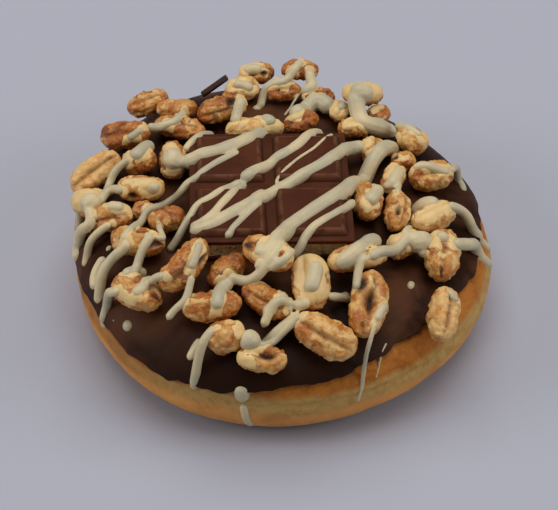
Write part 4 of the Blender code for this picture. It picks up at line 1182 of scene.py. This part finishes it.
def drop(sample, trees):
    """Highest surface under a sample, or the outermost at its height on the side."""
    if sample.z > 0:
        out = Vector((sample.x, sample.y, 0)).normalized()
        start, way = Vector((0, 0, sample.z)) + out * 2 * DOUGH_RADIUS, -out
    else:
        start, way = Vector((sample.x, sample.y, 2 * DOUGH_RADIUS)), Vector((0, 0, -1))
    best = None
    for tree in trees:
        place, normal, _, distance = tree.ray_cast(start * MM, way)
        if place and (best is None or distance < best[2]):
            best = (place / MM, normal, distance)
    return best


def hang(places):
    """Strand places kept above a slope down from each high spot, so that the strand bridges gaps."""
    heights = [place.z for place in places]
    for order in (range(1, len(places)), range(len(places) - 2, -1, -1)):
        step = 1 if order.step > 0 else -1
        for i in order:
            before = i - step
            run = (places[i].xy - places[before].xy).length
            heights[i] = max(heights[i], heights[before] - STRAND_SLOPE * run)
    for _ in range(6):
        heights = [heights[0]] + [max(h, (a + 2 * h + b) / 4) for a, h, b in
                                  zip(heights, heights[1:], heights[2:])] + [heights[-1]]
    return [Vector((place.x, place.y, height)) for place, height in zip(places, heights)]


def eased(places):
    """Strand places with small kinks smoothed away."""
    for _ in range(4):
        inner = [(a + 2 * b + c) / 4 for a, b, c in zip(places, places[1:], places[2:])]
        places = [places[0], *inner, places[-1]]
    return places


class DOUGHNUT_OT_drizzle(bpy.types.Operator):
    """White-chocolate drizzle that lies on the toppings and hangs between them"""

    bl_idname = "doughnut.drizzle"
    bl_label = "Drizzle"

    def execute(self, context):
        trees = []
        for piece in [o for o in bpy.data.objects if o.type == "MESH" and "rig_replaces" in o]:
            trees.append(BVHTree.FromPolygons([v.co for v in piece.data.vertices],
                                              [p.vertices for p in piece.data.polygons]))
        curve = bpy.data.curves.new("strands", "CURVE")
        curve.dimensions = "3D"
        curve.bevel_depth = MM
        curve.bevel_resolution = 3
        curve.use_fill_caps = True
        for index, (half_width, *points) in enumerate(STRANDS):
            hits = [(sample, drop(sample, trees)) for sample in sample_route(half_width, points)]
            hits = [(sample, hit) for sample, hit in hits if hit]
            tops = hang([hit[0] for sample, hit in hits])
            places = []
            for top, (sample, hit) in zip(tops, hits):
                if sample.z > 0:
                    places.append(hit[0] - hit[1] * half_width * STRAND_SINK)
                else:
                    free = min((top.z - hit[0].z) / half_width, 1.0)
                    places.append(top - Vector((0, 0, half_width * STRAND_SINK * (1 - free))))
            half_width *= STRAND_SPREAD
            add_strand(curve, [boxed(place, half_width) for place in eased(places)], half_width, index)
        strands = add_object("strands", curve)
        context.view_layer.update()
        data = bpy.data.meshes.new_from_object(strands.evaluated_get(context.evaluated_depsgraph_get()))
        bpy.data.objects.remove(strands)
        piece = add_object("drizzle", data)
        remesh = piece.modifiers.new("merge", "REMESH")
        remesh.mode = "VOXEL"
        remesh.voxel_size = DRIZZLE_VOXEL * MM
        soften = piece.modifiers.new("soften", "SMOOTH")
        soften.factor = SOFTEN_FACTOR
        soften.iterations = SOFTEN_ROUNDS
        context.view_layer.objects.active = piece
        for modifier in ("merge", "soften"):
            bpy.ops.object.modifier_apply(modifier=modifier)
        for vertex in piece.data.vertices:
            vertex.co = boxed(vertex.co / MM) * MM
        for polygon in piece.data.polygons:
            polygon.use_smooth = True
        dress(piece, make_drizzle_finish(look()), None)
        return {"FINISHED"}


def add_strand(curve, places, half_width, index):
    """Spline with round ends that swells and thins along its way."""
    waver = sizes().strand_waver
    lengths = [0.0]
    for a, b in zip(places, places[1:]):
        lengths.append(lengths[-1] + (b - a).length)
    total = lengths[-1]
    spline = curve.splines.new("POLY")
    spline.points.add(len(places) - 1)
    for point, place, run in zip(spline.points, places, lengths):
        near = min(run, total - run) / half_width
        tip = math.sqrt(max(1 - (1 - min(near, 1.0)) ** 2, 0.03))
        width = half_width * (1 + waver * lump((run, index * 7.3, 0), 3.5))
        point.co = (*(place * MM), 1.0)
        point.radius = width * tip


class DOUGHNUT_OT_stage(bpy.types.Operator):
    """Plain floor, soft light and the photograph's camera"""

    bl_idname = "doughnut.stage"
    bl_label = "Stage"

    def execute(self, context):
        scene = context.scene
        mesh = bmesh.new()
        bmesh.ops.create_grid(mesh, x_segments=1, y_segments=1, size=FLOOR_HALF)
        floor = add_object("floor", mesh_data("floor", mesh))
        finish = Finish("plain_floor", Roughness=0.9, Specular_IOR_Level=0.2)
        speckle = finish.clouds(1.2, 3)
        color = finish.mix(speckle * 0.06, look().floor_color, FLOOR_SPECKLE)
        floor.data.materials.append(finish.feed(Base_Color=color))
        self.add_light("overhead", OVERHEAD_PLACE, sizes().light_width, OVERHEAD_POWER)
        for name, place, power in FILLS:
            self.add_light(name, place, FILL_WIDTH, power)
        world = bpy.data.worlds.new("studio")
        world.use_nodes = True
        background = world.node_tree.nodes["Background"]
        background.inputs["Color"].default_value = WORLD_COLOR
        background.inputs["Strength"].default_value = WORLD_STRENGTH
        scene.world = world
        camera = add_object("camera", bpy.data.cameras.new("camera"))
        camera.data.sensor_width = SENSOR_WIDTH
        camera.data.lens = FOCAL_PIXELS / IMAGE_WIDTH * SENSOR_WIDTH
        camera.data.clip_start = 0.01
        back = Vector((0, -math.cos(CAMERA_RISE), math.sin(CAMERA_RISE)))
        camera.location = (Vector(CAMERA_AIM) + back * CAMERA_DISTANCE) * MM
        camera.rotation_euler = (math.pi / 2 - CAMERA_RISE, 0, 0)
        scene.camera = camera
        scene.view_settings.view_transform = "Standard"
        return {"FINISHED"}

    @staticmethod
    def add_light(name, place, width, power):
        """Soft square light aimed at the doughnut."""
        light = bpy.data.lights.new(name, "AREA")
        light.size = width
        light.energy = power
        made = add_object(name, light)
        made.location = place
        made.rotation_euler = (-Vector(place)).to_track_quat("-Z", "Y").to_euler()


class DOUGHNUT_PT_panel(bpy.types.Panel):
    """Sidebar panel with each step of the doughnut"""

    bl_idname = "DOUGHNUT_PT_panel"
    bl_label = "Iced doughnut"
    bl_space_type = "VIEW_3D"
    bl_region_type = "UI"
    bl_category = "Doughnut"

    def draw(self, context):
        for operator in OPERATORS:
            self.layout.operator(operator.bl_idname)
        for group in (look(), sizes()):
            for name in group.bl_rna.properties.keys():
                if name not in ("rna_type", "name"):
                    self.layout.prop(group, name)


OPERATORS = (DOUGHNUT_OT_dough, DOUGHNUT_OT_icing, DOUGHNUT_OT_square, DOUGHNUT_OT_filling,
             DOUGHNUT_OT_shard, DOUGHNUT_OT_kernels, DOUGHNUT_OT_drizzle, DOUGHNUT_OT_stage)
CLASSES = (DoughnutLook, DoughnutSizes, *OPERATORS, DOUGHNUT_PT_panel)


def register():
    """Register the classes and the settings."""
    for item in CLASSES:
        bpy.utils.register_class(item)
    bpy.types.Scene.doughnut_look = PointerProperty(type=DoughnutLook)
    bpy.types.Scene.doughnut_sizes = PointerProperty(type=DoughnutSizes)


def unregister():
    """Remove the settings and the classes."""
    del bpy.types.Scene.doughnut_sizes
    del bpy.types.Scene.doughnut_look
    for item in reversed(CLASSES):
        bpy.utils.unregister_class(item)


def main():
    """Build every piece."""
    register()
    bpy.ops.doughnut.dough()
    bpy.ops.doughnut.icing()
    bpy.ops.doughnut.square()
    bpy.ops.doughnut.filling()
    bpy.ops.doughnut.shard()
    bpy.ops.doughnut.kernels()
    bpy.ops.doughnut.drizzle()
    bpy.ops.doughnut.stage()


if __name__ == "__main__":
    main()
